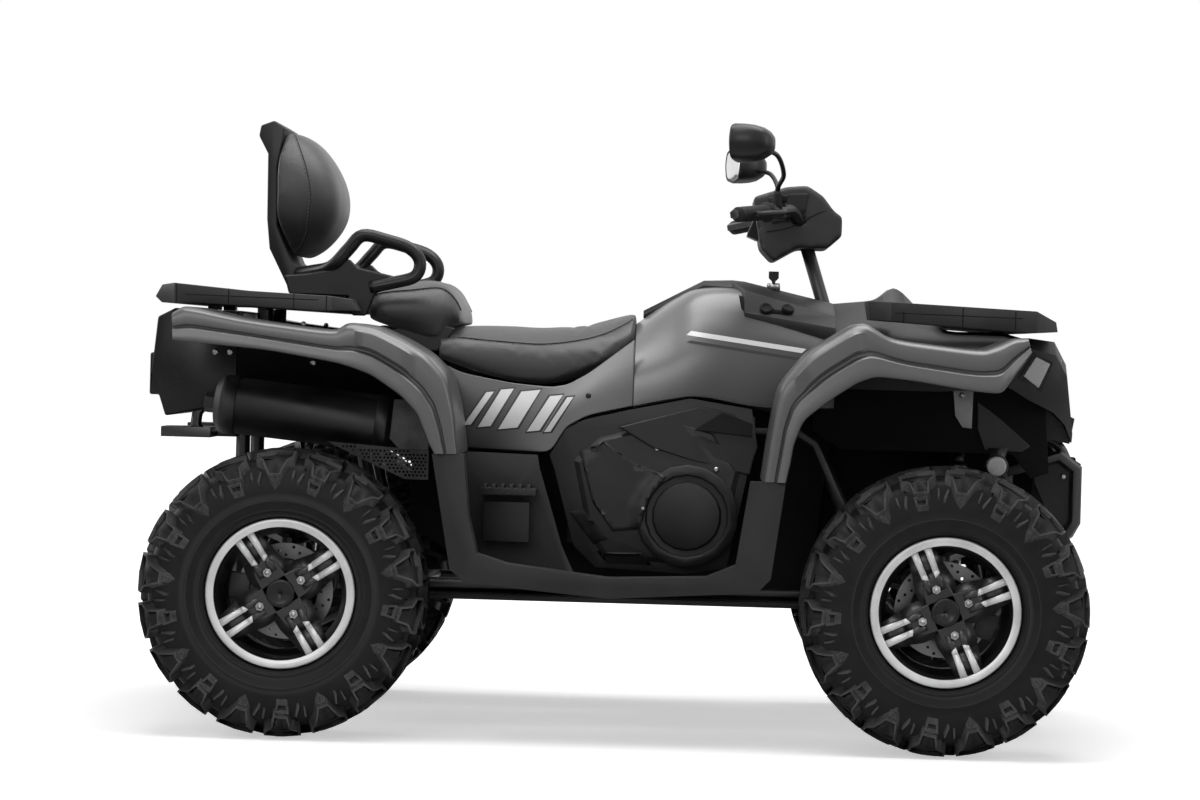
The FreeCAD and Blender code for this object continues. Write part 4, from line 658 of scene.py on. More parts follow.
def laid_on(name, outline, sign, surface, height_mm, finish, slot, inset_mm=0, grid_mm=14, body="chassis"):
    """A raised field on one side of the bike. The outline, in shares, is dropped onto the surface along Y."""
    shape = bmesh.new()
    corners = [shape.verts.new((spot(x, 0, 0).x, 0, spot(0, 0, z).z)) for x, z in outline]
    shape.faces.new(corners)
    low = Vector([min(v.co[axis] for v in shape.verts) for axis in range(3)])
    high = Vector([max(v.co[axis] for v in shape.verts) for axis in range(3)])
    for axis in (0, 2):
        place = low[axis] + grid_mm / 1000
        while place < high[axis]:
            point, normal = Vector((0, 0, 0)), Vector((0, 0, 0))
            point[axis], normal[axis] = place, 1
            everything = shape.verts[:] + shape.edges[:] + shape.faces[:]
            bmesh.ops.bisect_plane(shape, geom=everything, plane_co=point, plane_no=normal)
            place += grid_mm / 1000
    if inset_mm:
        bmesh.ops.inset_region(shape, faces=shape.faces[:], thickness=inset_mm / 1000, use_even_offset=True,
                               use_boundary=True)
    border = {v for edge in shape.edges if edge.is_boundary for v in edge.verts}
    for vertex in shape.verts:
        start = Vector((vertex.co.x, sign * 1.2, vertex.co.z))
        hit = surface.ray_cast(start, Vector((0, -sign, 0)))[0]
        if hit is None:
            hit = surface.find_nearest(Vector((vertex.co.x, sign * half_width * 0.8, vertex.co.z)))[0]
        sunk = -0.6 if (vertex in border and inset_mm) else height_mm
        vertex.co.y = hit.y + sign * sunk / 1000
    mesh = bpy.data.meshes.new(name)
    shape.to_mesh(mesh)
    shape.free()
    if mesh.polygons and mesh.polygons[0].normal.y * sign < 0:
        mesh.flip_normals()
    return new_piece(name, mesh, [finish], body, (), slot)


print("helpers ready, slots:", len(set(SLOT_OF.values())))

# %% [markdown]
# ## The tyres
# A mud tyre is a smooth carcass with tall rubber lugs. Two curves describe it: the carcass from the crown
# to the sidewall, and the envelope that the lug tops reach. A lug is drawn flat, as a polygon round the
# tyre and across it, given a recessed top, and then wrapped onto those curves. Shoulder lugs alternate
# between a slanted block with a square foot and a broad wedge with a small triangle, eighteen times round.

# %% Tyre curves
PITCHES = 18
FLAT_STEP = 25.0
LUG_TALL = 20.0
CARCASS_SHARES = [(0, 0.935), (0.4, 0.93), (0.7, 0.915), (0.83, 0.885), (0.9, 0.84), (0.935, 0.79),
                  (0.955, 0.745),
                  (0.962, 0.7)]
ENVELOPE_SHARES = [(0, 1.0), (0.4, 0.998), (0.74, 0.985), (0.9, 0.955), (0.985, 0.9), (1.0, 0.84),
                   (0.99, 0.785),
                   (0.972, 0.735)]
SIDEWALL_SHARES = [(0.962, 0.7), (0.958, 0.655), (0.963, 0.652), (0.962, 0.641), (0.954, 0.638), (0.93, 0.6),
                   (0.895, 0.57), (0.9, 0.566), (0.895, 0.556), (0.87, 0.552), (0.8, 0.535), (0.705, 0.526),
                   (0.685, 0.5), (0.68, 0.47)]


def along_curve(table, place):
    """The point of a curve at a place counted in table rows. Both sides of the crown are the same."""
    sign = 1 if place >= 0 else -1
    place = min(abs(place), len(table) - 1)
    row = min(int(place), len(table) - 2)
    share = place - row
    across = table[row][0] + (table[row + 1][0] - table[row][0]) * share
    out = table[row][1] + (table[row + 1][1] - table[row][1]) * share
    return Vector((across * sign, out))


SMOOTH_STEPS = 6
smooth_carcass = [tuple(p.xy) for p in curve_through([(a, b, 0) for a, b in CARCASS_SHARES], SMOOTH_STEPS)]
smooth_envelope = [tuple(p.xy) for p in curve_through([(a, b, 0) for a, b in ENVELOPE_SHARES], SMOOTH_STEPS)]
print("curve points:", len(smooth_carcass))

# %% Lug outlines
# Each corner is millimetres round the tyre and rows of the curves across it. The last number is the height.
SHOULDER_A = [([(-42, 2.2), (36, 1.8), (38, 3.0), (20, 3.6), (15, 4.9), (-22, 5.1), (-26, 3.8), (-42, 3.2)],
               1.0),
              ([(-17, 5.35), (19, 5.2), (16, 6.5), (-13, 6.65)], 0.9)]
SHOULDER_B = [([(-44, 1.8), (38, 2.2), (42, 3.0), (29, 3.5), (17, 5.3), (-13, 5.3), (-30, 3.6), (-43, 3.1)],
               1.0),
              ([(-13, 5.6), (14, 5.6), (1, 6.6)], 0.9)]
BETWEEN = [([(33, 4.5), (37, 4.4), (48, 5.6), (43, 5.8)], 0.55),
           ([(57, 4.2), (61, 4.2), (63, 5.1), (58, 5.2)], 0.5)]
CENTRE = [([(-30, -0.2), (8, -0.55), (27, 0.8), (20, 1.55), (-14, 1.7), (-34, 0.8)], 0.97)]


def flat_lug(outline, tall):
    """One lug in flat space: cut into strips, with a bordered recess on top and sides that widen downward."""
    shape = bmesh.new()
    corners = [shape.verts.new((u, v * FLAT_STEP, LUG_TALL * tall)) for u, v in outline]
    shape.faces.new(corners)
    low = min(v for u, v in outline)
    high = max(v for u, v in outline)
    cut = math.ceil(low * 2 + 0.2) / 2
    while cut < high - 0.1:
        everything = shape.verts[:] + shape.edges[:] + shape.faces[:]
        bmesh.ops.bisect_plane(shape, geom=everything, plane_co=(0, cut * FLAT_STEP, 0), plane_no=(0, 1, 0))
        cut += 0.5
    everything = shape.verts[:] + shape.edges[:] + shape.faces[:]
    bmesh.ops.bisect_plane(shape, geom=everything, plane_co=(0, 0, 0), plane_no=(1, 0, 0))
    inner = shape.faces[:]
    if tall > 0.8:
        # Ribs are too narrow for a recess. The others have a border of 5 mm round a sunk field
        bmesh.ops.inset_region(shape, faces=inner, thickness=4.6, use_even_offset=True, use_boundary=True)
        bmesh.ops.inset_region(shape, faces=inner, thickness=0.8, use_even_offset=True, use_boundary=True)
        for vertex in {v for face in inner for v in face.verts}:
            vertex.co.z -= 7
    middle = sum((v.co for v in corners), Vector()) / len(corners)
    rim_edges = [edge for edge in shape.edges if edge.is_boundary]
    made = bmesh.ops.extrude_edge_only(shape, edges=rim_edges)["geom"]
    for vertex in [item for item in made if isinstance(item, bmesh.types.BMVert)]:
        vertex.co.x = middle.x + (vertex.co.x - middle.x) * 1.07
        vertex.co.y = middle.y + (vertex.co.y - middle.y) * 1.04
        vertex.co.z = -2
    bmesh.ops.recalc_face_normals(shape, faces=shape.faces)
    verts = [tuple(v.co) for v in shape.verts]
    shape.verts.index_update()
    faces = [[v.index for v in face.verts] for face in shape.faces]
    sunk = set(inner) if tall > 0.8 else set()
    # Mark 1 is the paler rubber, a painted highlight on the raised faces; the sunk fields keep the dark
    # rubber as painted shade.
    marks = [0 if face in sunk else 1 for face in shape.faces]
    shape.free()
    return verts, faces, marks


LUGS_A = [flat_lug(*lug) for lug in SHOULDER_A + BETWEEN + CENTRE]
LUGS_B = [flat_lug(*lug) for lug in SHOULDER_B + BETWEEN + CENTRE]
print("faces in one pitch:", sum(len(lug[1]) for lug in LUGS_A + LUGS_B) // 2)

# %% Build the four tyres
def wheel_place(node):
    """Centre, outer radius and half width of a wheel piece."""
    low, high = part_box(node)
    return (low + high) / 2, (high.z - low.z) / 2, (high.y - low.y) / 2


def tyre_mesh(name, radius, half, steps=144):
    verts, faces = [], []
    profile = [(a, b) for a, b in smooth_carcass[::2]] + SIDEWALL_SHARES[1:]
    profile = [(-a, b) for a, b in profile[:0:-1]] + profile
    size = len(profile)
    for step, turn in enumerate(turns(steps)):
        verts += [(math.cos(turn) * b * radius, a * half, math.sin(turn) * b * radius) for a, b in profile]
        nxt = (step + 1) % steps * size
        faces += [(step * size + i, step * size + (i + 1) % size, nxt + (i + 1) % size,
                   nxt + i) for i in range(size)]
    marks = [0] * len(faces)
    pitch = 2 * math.pi / PITCHES
    flat_pitch = 2 * math.pi * 304 / PITCHES
    for index in range(PITCHES * 2):
        side = 1 if index % 2 else -1
        turn = pitch * index / 2
        for lug_verts, lug_faces, lug_marks in (LUGS_A if index // 2 % 2 == index % 2 else LUGS_B):
            start = len(verts)
            for u, v, h in lug_verts:
                row = v / FLAT_STEP * SMOOTH_STEPS
                base, top = along_curve(smooth_carcass, row), along_curve(smooth_envelope, row)
                point = base + (top - base) * (h / LUG_TALL)
                angle = turn + u / flat_pitch * pitch
                verts.append((math.cos(angle) * point.y * radius, side * point.x * half,
                              math.sin(angle) * point.y * radius))
            faces += [[start + i for i in face] for face in lug_faces]
            marks += lug_marks
    mesh = bpy.data.meshes.new(name)
    mesh.from_pydata(verts, [], faces)
    mesh.materials.append(tyre_rubber)
    mesh.materials.append(scuffed_and_highlit_rubber)
    mesh.polygons.foreach_set("material_index", marks)
    shape = bmesh.new()
    shape.from_mesh(mesh)
    bmesh.ops.recalc_face_normals(shape, faces=shape.faces)
    shape.to_mesh(mesh)
    shape.free()
    return mesh


def build_tyres():
    count = 0
    for end in ("front", "rear"):
        for side_name in ("left", "right"):
            node = "tyre_%s_%s" % (end, side_name)
            centre, radius, half = wheel_place(node)
            mesh = tyre_mesh(node + "_mesh", radius, half)
            turn = Matrix.Rotation(math.radians(7 if end == "rear" else 16), 4, "Y")
            mesh.transform(Matrix.Translation(centre) @ turn)
            item = new_piece("tyre_lugs_%s_%s" % (end, side_name), mesh, [], BODY_OF[node], [node], "tyre")
            round_edges(item, 1.1, 34, 1)
            count += len(mesh.polygons)
    return count


print("tyre faces before rounding:", build_tyres())

# %% [markdown]
# ## The rims
# The alloy rim is painted black, then the lathe cuts the outer ring and the faces of the spokes bright.
# Four arms carry two narrow bars each, with a slot between them. A cap covers the bore, and four nuts
# hold the wheel. Two finishes on one piece are given by face, so that the cut line between black and
# bright is exact.

# %% Shapes that turn about an axle
def turned(name, centre, sign, section, finishes, finish_of=None, steps=96):
    """A closed section of (out along the axle, radius), turned about it. Each segment may have its finish."""
    rings = [[centre + Vector((math.cos(turn) * r, sign * out, math.sin(turn) * r)) for out, r in section]
             for turn in turns(steps)]
    size = len(section)
    verts = [tuple(p) for ring in rings for p in ring]
    faces, marks = [], []
    for step in range(steps):
        nxt = (step + 1) % steps
        for index in range(size):
            after = (index + 1) % size
            faces.append((step * size + index, step * size + after, nxt * size + after, nxt * size + index))
            marks.append(finish_of[index] if finish_of else 0)
    mesh = bpy.data.meshes.new(name)
    mesh.from_pydata(verts, [], faces)
    for finish in finishes:
        mesh.materials.append(finish)
    mesh.polygons.foreach_set("material_index", marks)
    shape = bmesh.new()
    shape.from_mesh(mesh)
    bmesh.ops.remove_doubles(shape, verts=shape.verts, dist=1e-6)
    bmesh.ops.dissolve_degenerate(shape, dist=1e-6, edges=shape.edges)
    bmesh.ops.recalc_face_normals(shape, faces=shape.faces)
    shape.to_mesh(mesh)
    shape.free()
    return plain_object(name, mesh)


def prism(name, outline, low, high, place, finishes, marks=(0, 0, 0)):
    """A flat outline with depth. Place turns (u, v, depth) to a point. Marks: finish of top, foot, sides."""
    size = len(outline)
    verts = [tuple(place(u, v, depth)) for depth in (low, high) for u, v in outline]
    faces = [tuple(range(size)), tuple(range(size, 2 * size))]
    faces += [(i, (i + 1) % size, size + (i + 1) % size, size + i) for i in range(size)]
    mesh = bpy.data.meshes.new(name)
    mesh.from_pydata(verts, [], faces)
    for finish in finishes:
        mesh.materials.append(finish)
    mesh.polygons.foreach_set("material_index", [marks[1], marks[0]] + [marks[2]] * size)
    return plain_object(name, tidy_mesh(mesh))


def wheel_point(centre, sign, angle_deg):
    """Local axes of a wheel: u runs out along a spoke, v across it, and depth out along the axle."""
    turn = math.radians(angle_deg)
    along = Vector((math.cos(turn), 0, math.sin(turn)))
    across = Vector((-math.sin(turn), 0, math.cos(turn)))
    return lambda u, v, depth: centre + along * u + across * v + Vector((0, sign * depth, 0))


# %% Build a rim
SEAT_R, HUB_R = 0.152, 0.042
NUT_CIRCLE_R = 0.055
SPOKE_ANGLE = {"front": 23.5, "rear": 34.0}
# Outlines on one spoke: metres out from the axle, and across it. A bar is flat in itself up to the fold at
# 95 mm and beyond it, its cut face stands a millimetre inside its borders, and a black arm joins two bars
BAR_INNER, BAR_OUTER = 0.0068, 0.0222
CUT_INNER, CUT_OUTER = BAR_INNER + 0.001, BAR_OUTER - 0.001
RIM_BARS = ([(0.05, BAR_INNER), (0.095, BAR_INNER), (0.095, BAR_OUTER), (0.05, BAR_OUTER)],
            [(0.095, BAR_INNER), (0.15, BAR_INNER), (0.15, BAR_OUTER + 0.003), (0.095, BAR_OUTER)])
RIM_CUTS = ([(0.08, CUT_INNER), (0.095, CUT_INNER), (0.095, CUT_OUTER), (0.087, CUT_OUTER)],
            [(0.095, CUT_INNER), (0.1515, CUT_INNER), (0.1515, BAR_OUTER + 0.002), (0.095, CUT_OUTER)])
RIM_ARMS = ([(0.002, 0), (0.046, -0.0455), (0.07, -0.0455), (0.095, -0.0395), (0.095, 0.0395), (0.07, 0.0455),
             (0.046, 0.0455)],
            [(0.095, -0.0395), (0.146, -0.031), (0.146, 0.031), (0.095, 0.0395)])
RIM_BOSS = [(0.012, -0.034), (0.06, -0.03), (0.078, -0.022), (0.082, 0), (0.078, 0.022), (0.06, 0.03),
            (0.012, 0.034)]


def build_rim(end, side_name):
    node = "rim_%s_%s" % (end, side_name)
    centre, _, face = wheel_place(node)
    sign = 1 if side_name == "left" else -1
    # The ring's bright face, the black step inside it, the well, and the outside of the barrel
    section = [(face, 0.150), (face, 0.166), (face - 0.001, 0.168), (face - 0.004, 0.169),
               (face - 0.01, 0.168),
               (face - 0.011, SEAT_R), (0.03, SEAT_R), (0.02, 0.138), (-0.03, 0.138), (-0.04, SEAT_R),
               (-face + 0.01, SEAT_R), (-face + 0.01, 0.166), (-face, 0.168), (-face, 0.146), (-0.045, 0.143),
               (-0.03, 0.132), (0.02, 0.132), (0.035, 0.143), (face - 0.014, 0.1445), (face - 0.006, 0.1475),
               (face - 0.002, 0.149)]
    bright = [1 if index < 3 else 0 for index in range(len(section))]
    two_tones = [rim_black, rim_silver]
    parts = [turned(node + "_barrel", centre, sign, section, two_tones, bright)]
    plate_high = face - 0.010
    plate_low = plate_high - 0.014
    first = SPOKE_ANGLE[end] if sign < 0 else 180 - SPOKE_ANGLE[end]
    for quarter in range(4):
        place = wheel_point(centre, sign, first + 90 * quarter)
        # Toward the ring the spokes climb out of the dish, so that their faces run into the ring's face
        climb = lambda u, v, depth, place=place: place(u, v,
                                                       depth + 0.0085 * min(max((u - 0.095) / 0.05, 0), 1))
        for side in SIDES:
            for outline in RIM_BARS:
                bar = [(u, side * v) for u, v in outline]
                parts.append(prism(node + "_bar", bar, plate_low, plate_high, climb, two_tones))
            for outline in RIM_CUTS:
                cut = [(u, side * v) for u, v in outline]
                parts.append(prism(node + "_cut_face", cut, plate_high - 0.001, plate_high + 0.0012, climb,
                                   two_tones, (1, 1, 1)))
        for arm in RIM_ARMS:
            parts.append(prism(node + "_arm", arm, plate_low - 0.006, plate_high - 0.007, climb, two_tones))
        boss = prism(node + "_boss", RIM_BOSS, plate_low, plate_high - 0.0015, place, two_tones)
        parts.append(round_edges(boss, 3, 30, 2))
        nut = wheel_point(place(NUT_CIRCLE_R, 0, 0), sign, first + 15)
        parts.append(round_edges(prism(node + "_nut", circle(0.0105, 6), plate_high - 0.006,
                                       plate_high + 0.003,
                                       nut, [bolt_zinc]), 1.2, 40, 1))
        parts.append(prism(node + "_stud", circle(0.0055, 12), plate_high, plate_high + 0.007, nut,
                           [bolt_zinc]))
    hub = [(0, 0.001), (plate_high - 0.003, 0.001), (plate_high - 0.003, 0.036), (plate_high - 0.006, 0.040),
           (plate_low - 0.01, HUB_R), (0.0, HUB_R)]
    parts.append(turned(node + "_hub", centre, sign, hub, [rim_black], steps=48))
    cap = [(plate_high - 0.004, 0.001), (plate_high + 0.0045, 0.001), (plate_high + 0.005, 0.02),
           (plate_high + 0.0062, 0.0215), (plate_high + 0.0062, 0.027), (plate_high + 0.005, 0.031),
           (plate_high - 0.004, 0.0335)]
    parts.append(turned(node + "_cap", centre, sign, cap, [smooth_plastic], steps=64))
    for part in parts:
        bake_modifiers(part)
    rim = merged("rim_%s_%s_bright" % (end, side_name), parts)
    attach(rim, BODY_OF[node], "alloy", node)
    return len(rim.data.polygons)


def bake_modifiers(item):
    """Turns an object's modifiers into its mesh, so that it can be joined to others."""
    if not item.modifiers:
        return
    graph = bpy.context.evaluated_depsgraph_get()
    mesh = bpy.data.meshes.new_from_object(item.evaluated_get(graph))
    item.modifiers.clear()
    item.data = mesh


for rim_end in ("front", "rear"):
    for rim_side in ("left", "right"):
        print("rim", rim_end, rim_side, "faces:", build_rim(rim_end, rim_side))

# %% [markdown]
# ## The brake discs
# A steel disc is ground flat and drilled in rings, which sheds mud and heat. Its rubbed band is bright
# and its carrier is not. The holes are real openings: circles are filled with triangles between them and
# the outline, and the sheet is then given its thickness.

# %% Build the drilled discs
def holed_sheet(name, outlines, thickness, place, finish):
    """A flat sheet between an outer outline and holes, with thickness."""
    shape = bmesh.new()
    edges = []
    for outline in outlines:
        corners = [shape.verts.new((u, v, 0)) for u, v in outline]
        edges += [shape.edges.new((corners[i], corners[(i + 1) % len(corners)])) for i in range(len(corners))]
    bmesh.ops.triangle_fill(shape, edges=edges, use_beauty=True, use_dissolve=False)
    made = bmesh.ops.extrude_face_region(shape, geom=shape.faces[:])["geom"]
    for vertex in [item for item in made if isinstance(item, bmesh.types.BMVert)]:
        vertex.co.z += thickness
    bmesh.ops.recalc_face_normals(shape, faces=shape.faces)
    for vertex in shape.verts:
        vertex.co = place(*vertex.co)
    bmesh.ops.recalc_face_normals(shape, faces=shape.faces)
    mesh = bpy.data.meshes.new(name)
    shape.to_mesh(mesh)
    shape.free()
    mesh.materials.append(finish)
    item = bpy.data.objects.new(name, mesh)
    scene.collection.objects.link(item)
    return item


def build_disc(end, side_name):
    centre = wheel_place("rim_%s_%s" % (end, side_name))[0]
    sign = 1 if side_name == "left" else -1
    outlines = [circle(0.109, 72), circle(0.074, 60)]
    for step, turn in enumerate(turns(36)):
        ring_r = (0.082, 0.0915, 0.101)[step % 3]
        outlines.append(circle(0.0036, 10, math.cos(turn) * ring_r, math.sin(turn) * ring_r))
    low = DISC_LOW[end]
    place = wheel_point(centre, sign, 0)
    disc = holed_sheet("disc_%s_%s" % (end, side_name), outlines, 0.005, lambda u, v, d: place(u, v, d + low),
                       disc_steel)
    # The carrier has six lobes
    lobes = [(turn, 0.066 + 0.011 * math.cos(turn * 6)) for turn in turns(60)]
    carrier = [(math.cos(turn) * reach, math.sin(turn) * reach) for turn, reach in lobes]
    web = prism("disc_web", carrier, low + 0.001, low + 0.004, place, [cast_aluminium])
    disc = merged("brake_disc_%s_%s" % (end, side_name), [disc, web])
    return attach(disc, "wheel_%s_%s" % (end, side_name), "steel")


# The disc stands one disc thickness outside the hub's inner face
KNUCKLE_FACE_Y = 0.454
DISC_LOW = {end: KNUCKLE_FACE_Y - wheel_place("rim_%s_left" % end)[0].y + 0.005 for end in ("front", "rear")}
for disc_end in ("front", "rear"):
    for disc_side in ("left", "right"):
        build_disc(disc_end, disc_side)
print("discs stand at", DISC_LOW)

# %% [markdown]
# ## Pieces that keep the model's form
# Racks, footwells, covers, tubes, arms and lamps already have the right outline. Each gets a copy whose
# edges are rounded as its process would leave them: about 3 mm on blow-moulded racks, 2 mm on injected
# covers, 1 mm on machined metal. The copy takes the model's place and the finish does the rest.

# %% Round the moulded pieces
MOULDED = [
    ("front_rack", rack_plastic, 5), ("rear_rack", rack_plastic, 5), ("footwells", black_plastic, 4),
    ("engine_covers", panel_plastic, 3), ("arch_liners", liner_and_shade_plastic, 2), ("tail_panel", smooth_plastic, 5),
    ("front_fascia", panel_plastic, 4), ("backrest_shell", black_plastic, 4), ("bar_cowl", black_plastic, 13),
    ("skid_plate", black_plastic, 3), ("front_bumper", frame_black, 3), ("frame", frame_black, 1.5),
    ("tow_bar", frame_black, 2), ("rear_tubes", frame_black, 1.5), ("engine", cast_aluminium, 5),
    ("silencer", heat_paint, 3), ("final_drives", cast_aluminium, 3), ("half_shafts", frame_black, 2),
    ("handlebar", frame_black, 2), ("levers", smooth_plastic, 1.5), ("headlamps", lamp_lens, 3),
    ("tail_lamps", smoked_lens, 2)]


def mould_all(rows):
    for node, finish, width_mm in rows:
        moulded(node, node + "_rounded", finish, width_mm)


mould_all(MOULDED)
print("moulded:", len(MOULDED))

# %% [markdown]
# ## Body panels: crisp runs and smooth sections
# The body is styled with flat facets that meet on soft creases. Along a panel the outline keeps its
# straight runs and only its corners are rounded. Across a panel the section is a smooth curve. Both come
# from the same tables of shares as the model, with more points across, so that the fender gets its
# rolled shoulder, its channel and its lip.

# %% Corners rounded on a run
def crisp_run(rows, share=0.3, steps=4):
    """Rows of numbers along a panel. Straight runs stay straight, and each corner becomes a short curve."""
    rows = [[float(value) for value in row] for row in rows]
    result = [rows[0]]
    for index in range(1, len(rows) - 1):
        before, here, after = rows[index - 1], rows[index], rows[index + 1]
        start = [h + (b - h) * share for h, b in zip(here, before)]
        end = [h + (a - h) * share for h, a in zip(here, after)]
        for step in range(steps + 1):
            t = step / steps
            result.append([s * (1 - t) ** 2 + 2 * h * t * (1 - t) + e * t * t for s, h,
                           e in zip(start, here, end)])
    result.append(rows[-1])
    return result


def smooth_run(rows, steps=5):
    """Rows of numbers along a panel, with a smooth curve through every column."""
    result = []
    for index in range(len(rows) - 1):
        p1, p2 = rows[index], rows[index + 1]
        p0 = rows[index - 1] if index else p1
        p3 = rows[index + 2] if index + 2 < len(rows) else p2
        for step in range(steps):
            t = step / steps
            result.append([b + 0.5 * t * ((c - a) + t * (
                2 * a - 5 * b + 4 * c - d + t * (3 * b - a - 3 * c + d)))
                           for a, b, c, d in zip(p0, p1, p2, p3)])
    result.append(list(rows[-1]))
    return result


def finer_rows(rows, longest):
    """Splits the long steps of a run, where a step is measured by its first two numbers."""
    result = [rows[0]]
    for before, here in zip(rows, rows[1:]):
        count = max(1, math.ceil(math.hypot(here[0] - before[0], here[1] - before[1]) / longest))
        for part in range(1, count + 1):
            t = part / count
            result.append([b + (h - b) * t for b, h in zip(before, here)])
    return result


# %% Build the fenders
REAR_FLARE = [
    (-0.675, 0.893, -0.671, 0.804), (-0.657, 0.917, -0.638, 0.797), (-0.572, 0.88, -0.527, 0.779),
    (-0.429, 0.847, -0.423, 0.744), (-0.409, 0.876, -0.396, 0.727), (-0.37, 0.866, -0.37, 0.707),
    (-0.325, 0.824, -0.325, 0.644), (-0.29, 0.781, -0.3, 0.587), (-0.258, 0.713, -0.29, 0.535),
    (-0.244, 0.6, -0.281, 0.49), (-0.236, 0.462, -0.273, 0.462)]
FRONT_FLARE = [
    (0.22, 0.4, 0.256, 0.4), (0.227, 0.52, 0.262, 0.462), (0.235, 0.63, 0.266, 0.521),
               (0.243, 0.711, 0.28, 0.601),
    (0.285, 0.821, 0.323, 0.674), (0.351, 0.911, 0.36, 0.726), (0.371, 0.916, 0.386, 0.746),
    (0.409, 0.867, 0.446, 0.734), (0.545, 0.837, 0.53, 0.707), (0.568, 0.856, 0.574, 0.7),
    (0.592, 0.88, 0.595, 0.769), (0.612, 0.881, 0.617, 0.833)]
# Across the flare: share of the reach outward, and of the drop from the crown to the lip. A rolled
# shoulder, a flat face, a step inward, then the lip's broad band and its turned edge
FLARE_SECTION = [
    (0.9, 0.0), (0.925, 0.004), (0.945, 0.022), (0.958, 0.05), (0.967, 0.085), (0.973, 0.125), (0.976, 0.17),
    (0.978, 0.3), (0.979, 0.46), (0.9785, 0.5), (0.972, 0.525), (0.97, 0.55), (0.973, 0.58), (0.984, 0.605),
    (0.99, 0.64), (0.9945, 0.78), (0.998, 0.92), (0.997, 0.965), (0.992, 0.992), (0.983, 1.0),
    (0.972, 0.99), (0.968, 0.95), (0.962, 0.85), (0.95, 0.72), (0.935, 0.6), (0.935, 0.4), (0.945, 0.2),
    (0.93, 0.1), (0.9, 0.07)]
# Where along the run the flat face carries a raised facet: start, full, full, end
REAR_FACET = (-0.4, -0.388, -0.325, -0.305)
FRONT_FACET = (0.256, 0.275, 0.352, 0.362)
REACH, REAR_INNER, FRONT_INNER = 0.96, 0.4406, 0.5006


def facet_lift(x, facet, drop):
    """How far out the facet stands, as a share of the reach."""
    if not 0.15 < drop < 0.47:
        return 0.0
    start, full, last, end = facet
    return 0.015 * max(0.0, min((x - start) / (full - start), 1, (end - x) / (end - last)))


def fender(name, node, rows, inner, facet):
    parts = []
    for sign in SIDES:
        rings = []
        for top_x, top_z, low_x, low_z in finer_rows(crisp_run(rows, 0.28, 4), 0.012):
            top, low = spot(top_x, 0, top_z), spot(low_x, 0, low_z)
            raised = [(out + facet_lift(top_x, facet, drop) if step < 12 else out, drop)
                      for step, (out, drop) in enumerate(FLARE_SECTION)]
            section = [(inner / REACH, 0.0)] + raised + [(inner / REACH, 0.07)]
            rings.append([top + (low - top) * drop + Vector((0, sign * half_width * REACH * out, 0))
                          for out, drop in section])
        parts.append(plain_object(name, skin_mesh(name, rings)))
    item = merged(name, parts)
    item.data.materials.append(flare_paint)
    item.data.materials.append(liner_and_shade_plastic)
    # Faces that look inward or down at the tyre are bare liner, since nobody paints them
    for face in item.data.polygons:
        outward = face.normal.y * (1 if face.center.y > 0 else -1)
        if outward < -0.35 or (outward < 0.3 and face.normal.z < -0.3):
            face.material_index = 1
    attach(item, "chassis", SLOT_OF[node], node)
    crease = item.modifiers.new("soft_creases", "BEVEL")
    crease.width, crease.segments, crease.angle_limit = 0.0015, 2, math.radians(28)
    crease.harden_normals = True
    return item


rear_flares = fender("rear_fender_flares", "rear_fenders", REAR_FLARE, REAR_INNER, REAR_FACET)
front_flares = fender("front_fender_flares", "front_fenders", FRONT_FLARE, FRONT_INNER, FRONT_FACET)
print("fender faces:", len(rear_flares.data.polygons) + len(front_flares.data.polygons))

# %% [markdown]
# ## Tank and hood
# These panels span the middle of the bike. Each cut is half a section, mirrored. The tank is pinched at
# the knees and swells ahead of them, which a smooth curve through the cuts gives; the hood is flatter and
# crisper. The steering stem passes through them, so a round hole is cut for it.

# %% Half sections to closed skins
def half_loft(name, cuts, finish, node, run=smooth_run, section_steps=4, crisp=False):
    """A closed skin through half sections. A cut is a place along the bike, and points from top to bottom."""
    rows = []
    for x, points in cuts:
        rows.append([x] + [value for point in points for value in point])
    rings = []
    for row in run(rows):
        points = [(row[i], row[i + 1]) for i in range(1, len(row), 2)]
        if crisp:
            outline = crisp_run(points, 0.25, 3)
        else:
            outline = [(p.x, p.y) for p in curve_through([(y, z, 0) for y, z in points], section_steps)]
        left = [spot(row[0], y, z) for y, z in outline]
        right = [spot(row[0], -y, z) for y, z in reversed(outline)]
        rings.append(left + right)
    return new_piece(name, skin_mesh(name, rings), [finish], "chassis", [node], SLOT_OF[node])


def cut_round(item, start, end, radius):
    """Drills a round hole through a piece."""
    line = end - start
    _, side, other = axes_of(line)
    rings = [ring(start + line * share, side, other, radius, 32) for share in (0, 1)]
    cutter = plain_object("drill", skin_mesh("drill", rings))
    hole = item.modifiers.new("hole", "BOOLEAN")
    hole.object, hole.operation, hole.solver = cutter, "DIFFERENCE", "EXACT"
    bpy.context.view_layer.update()
    finishes = list(item.data.materials)
    bake_modifiers(item)
    item.data.materials.clear()
    for finish in finishes:
        item.data.materials.append(finish)
    bpy.data.objects.remove(cutter)
    return item


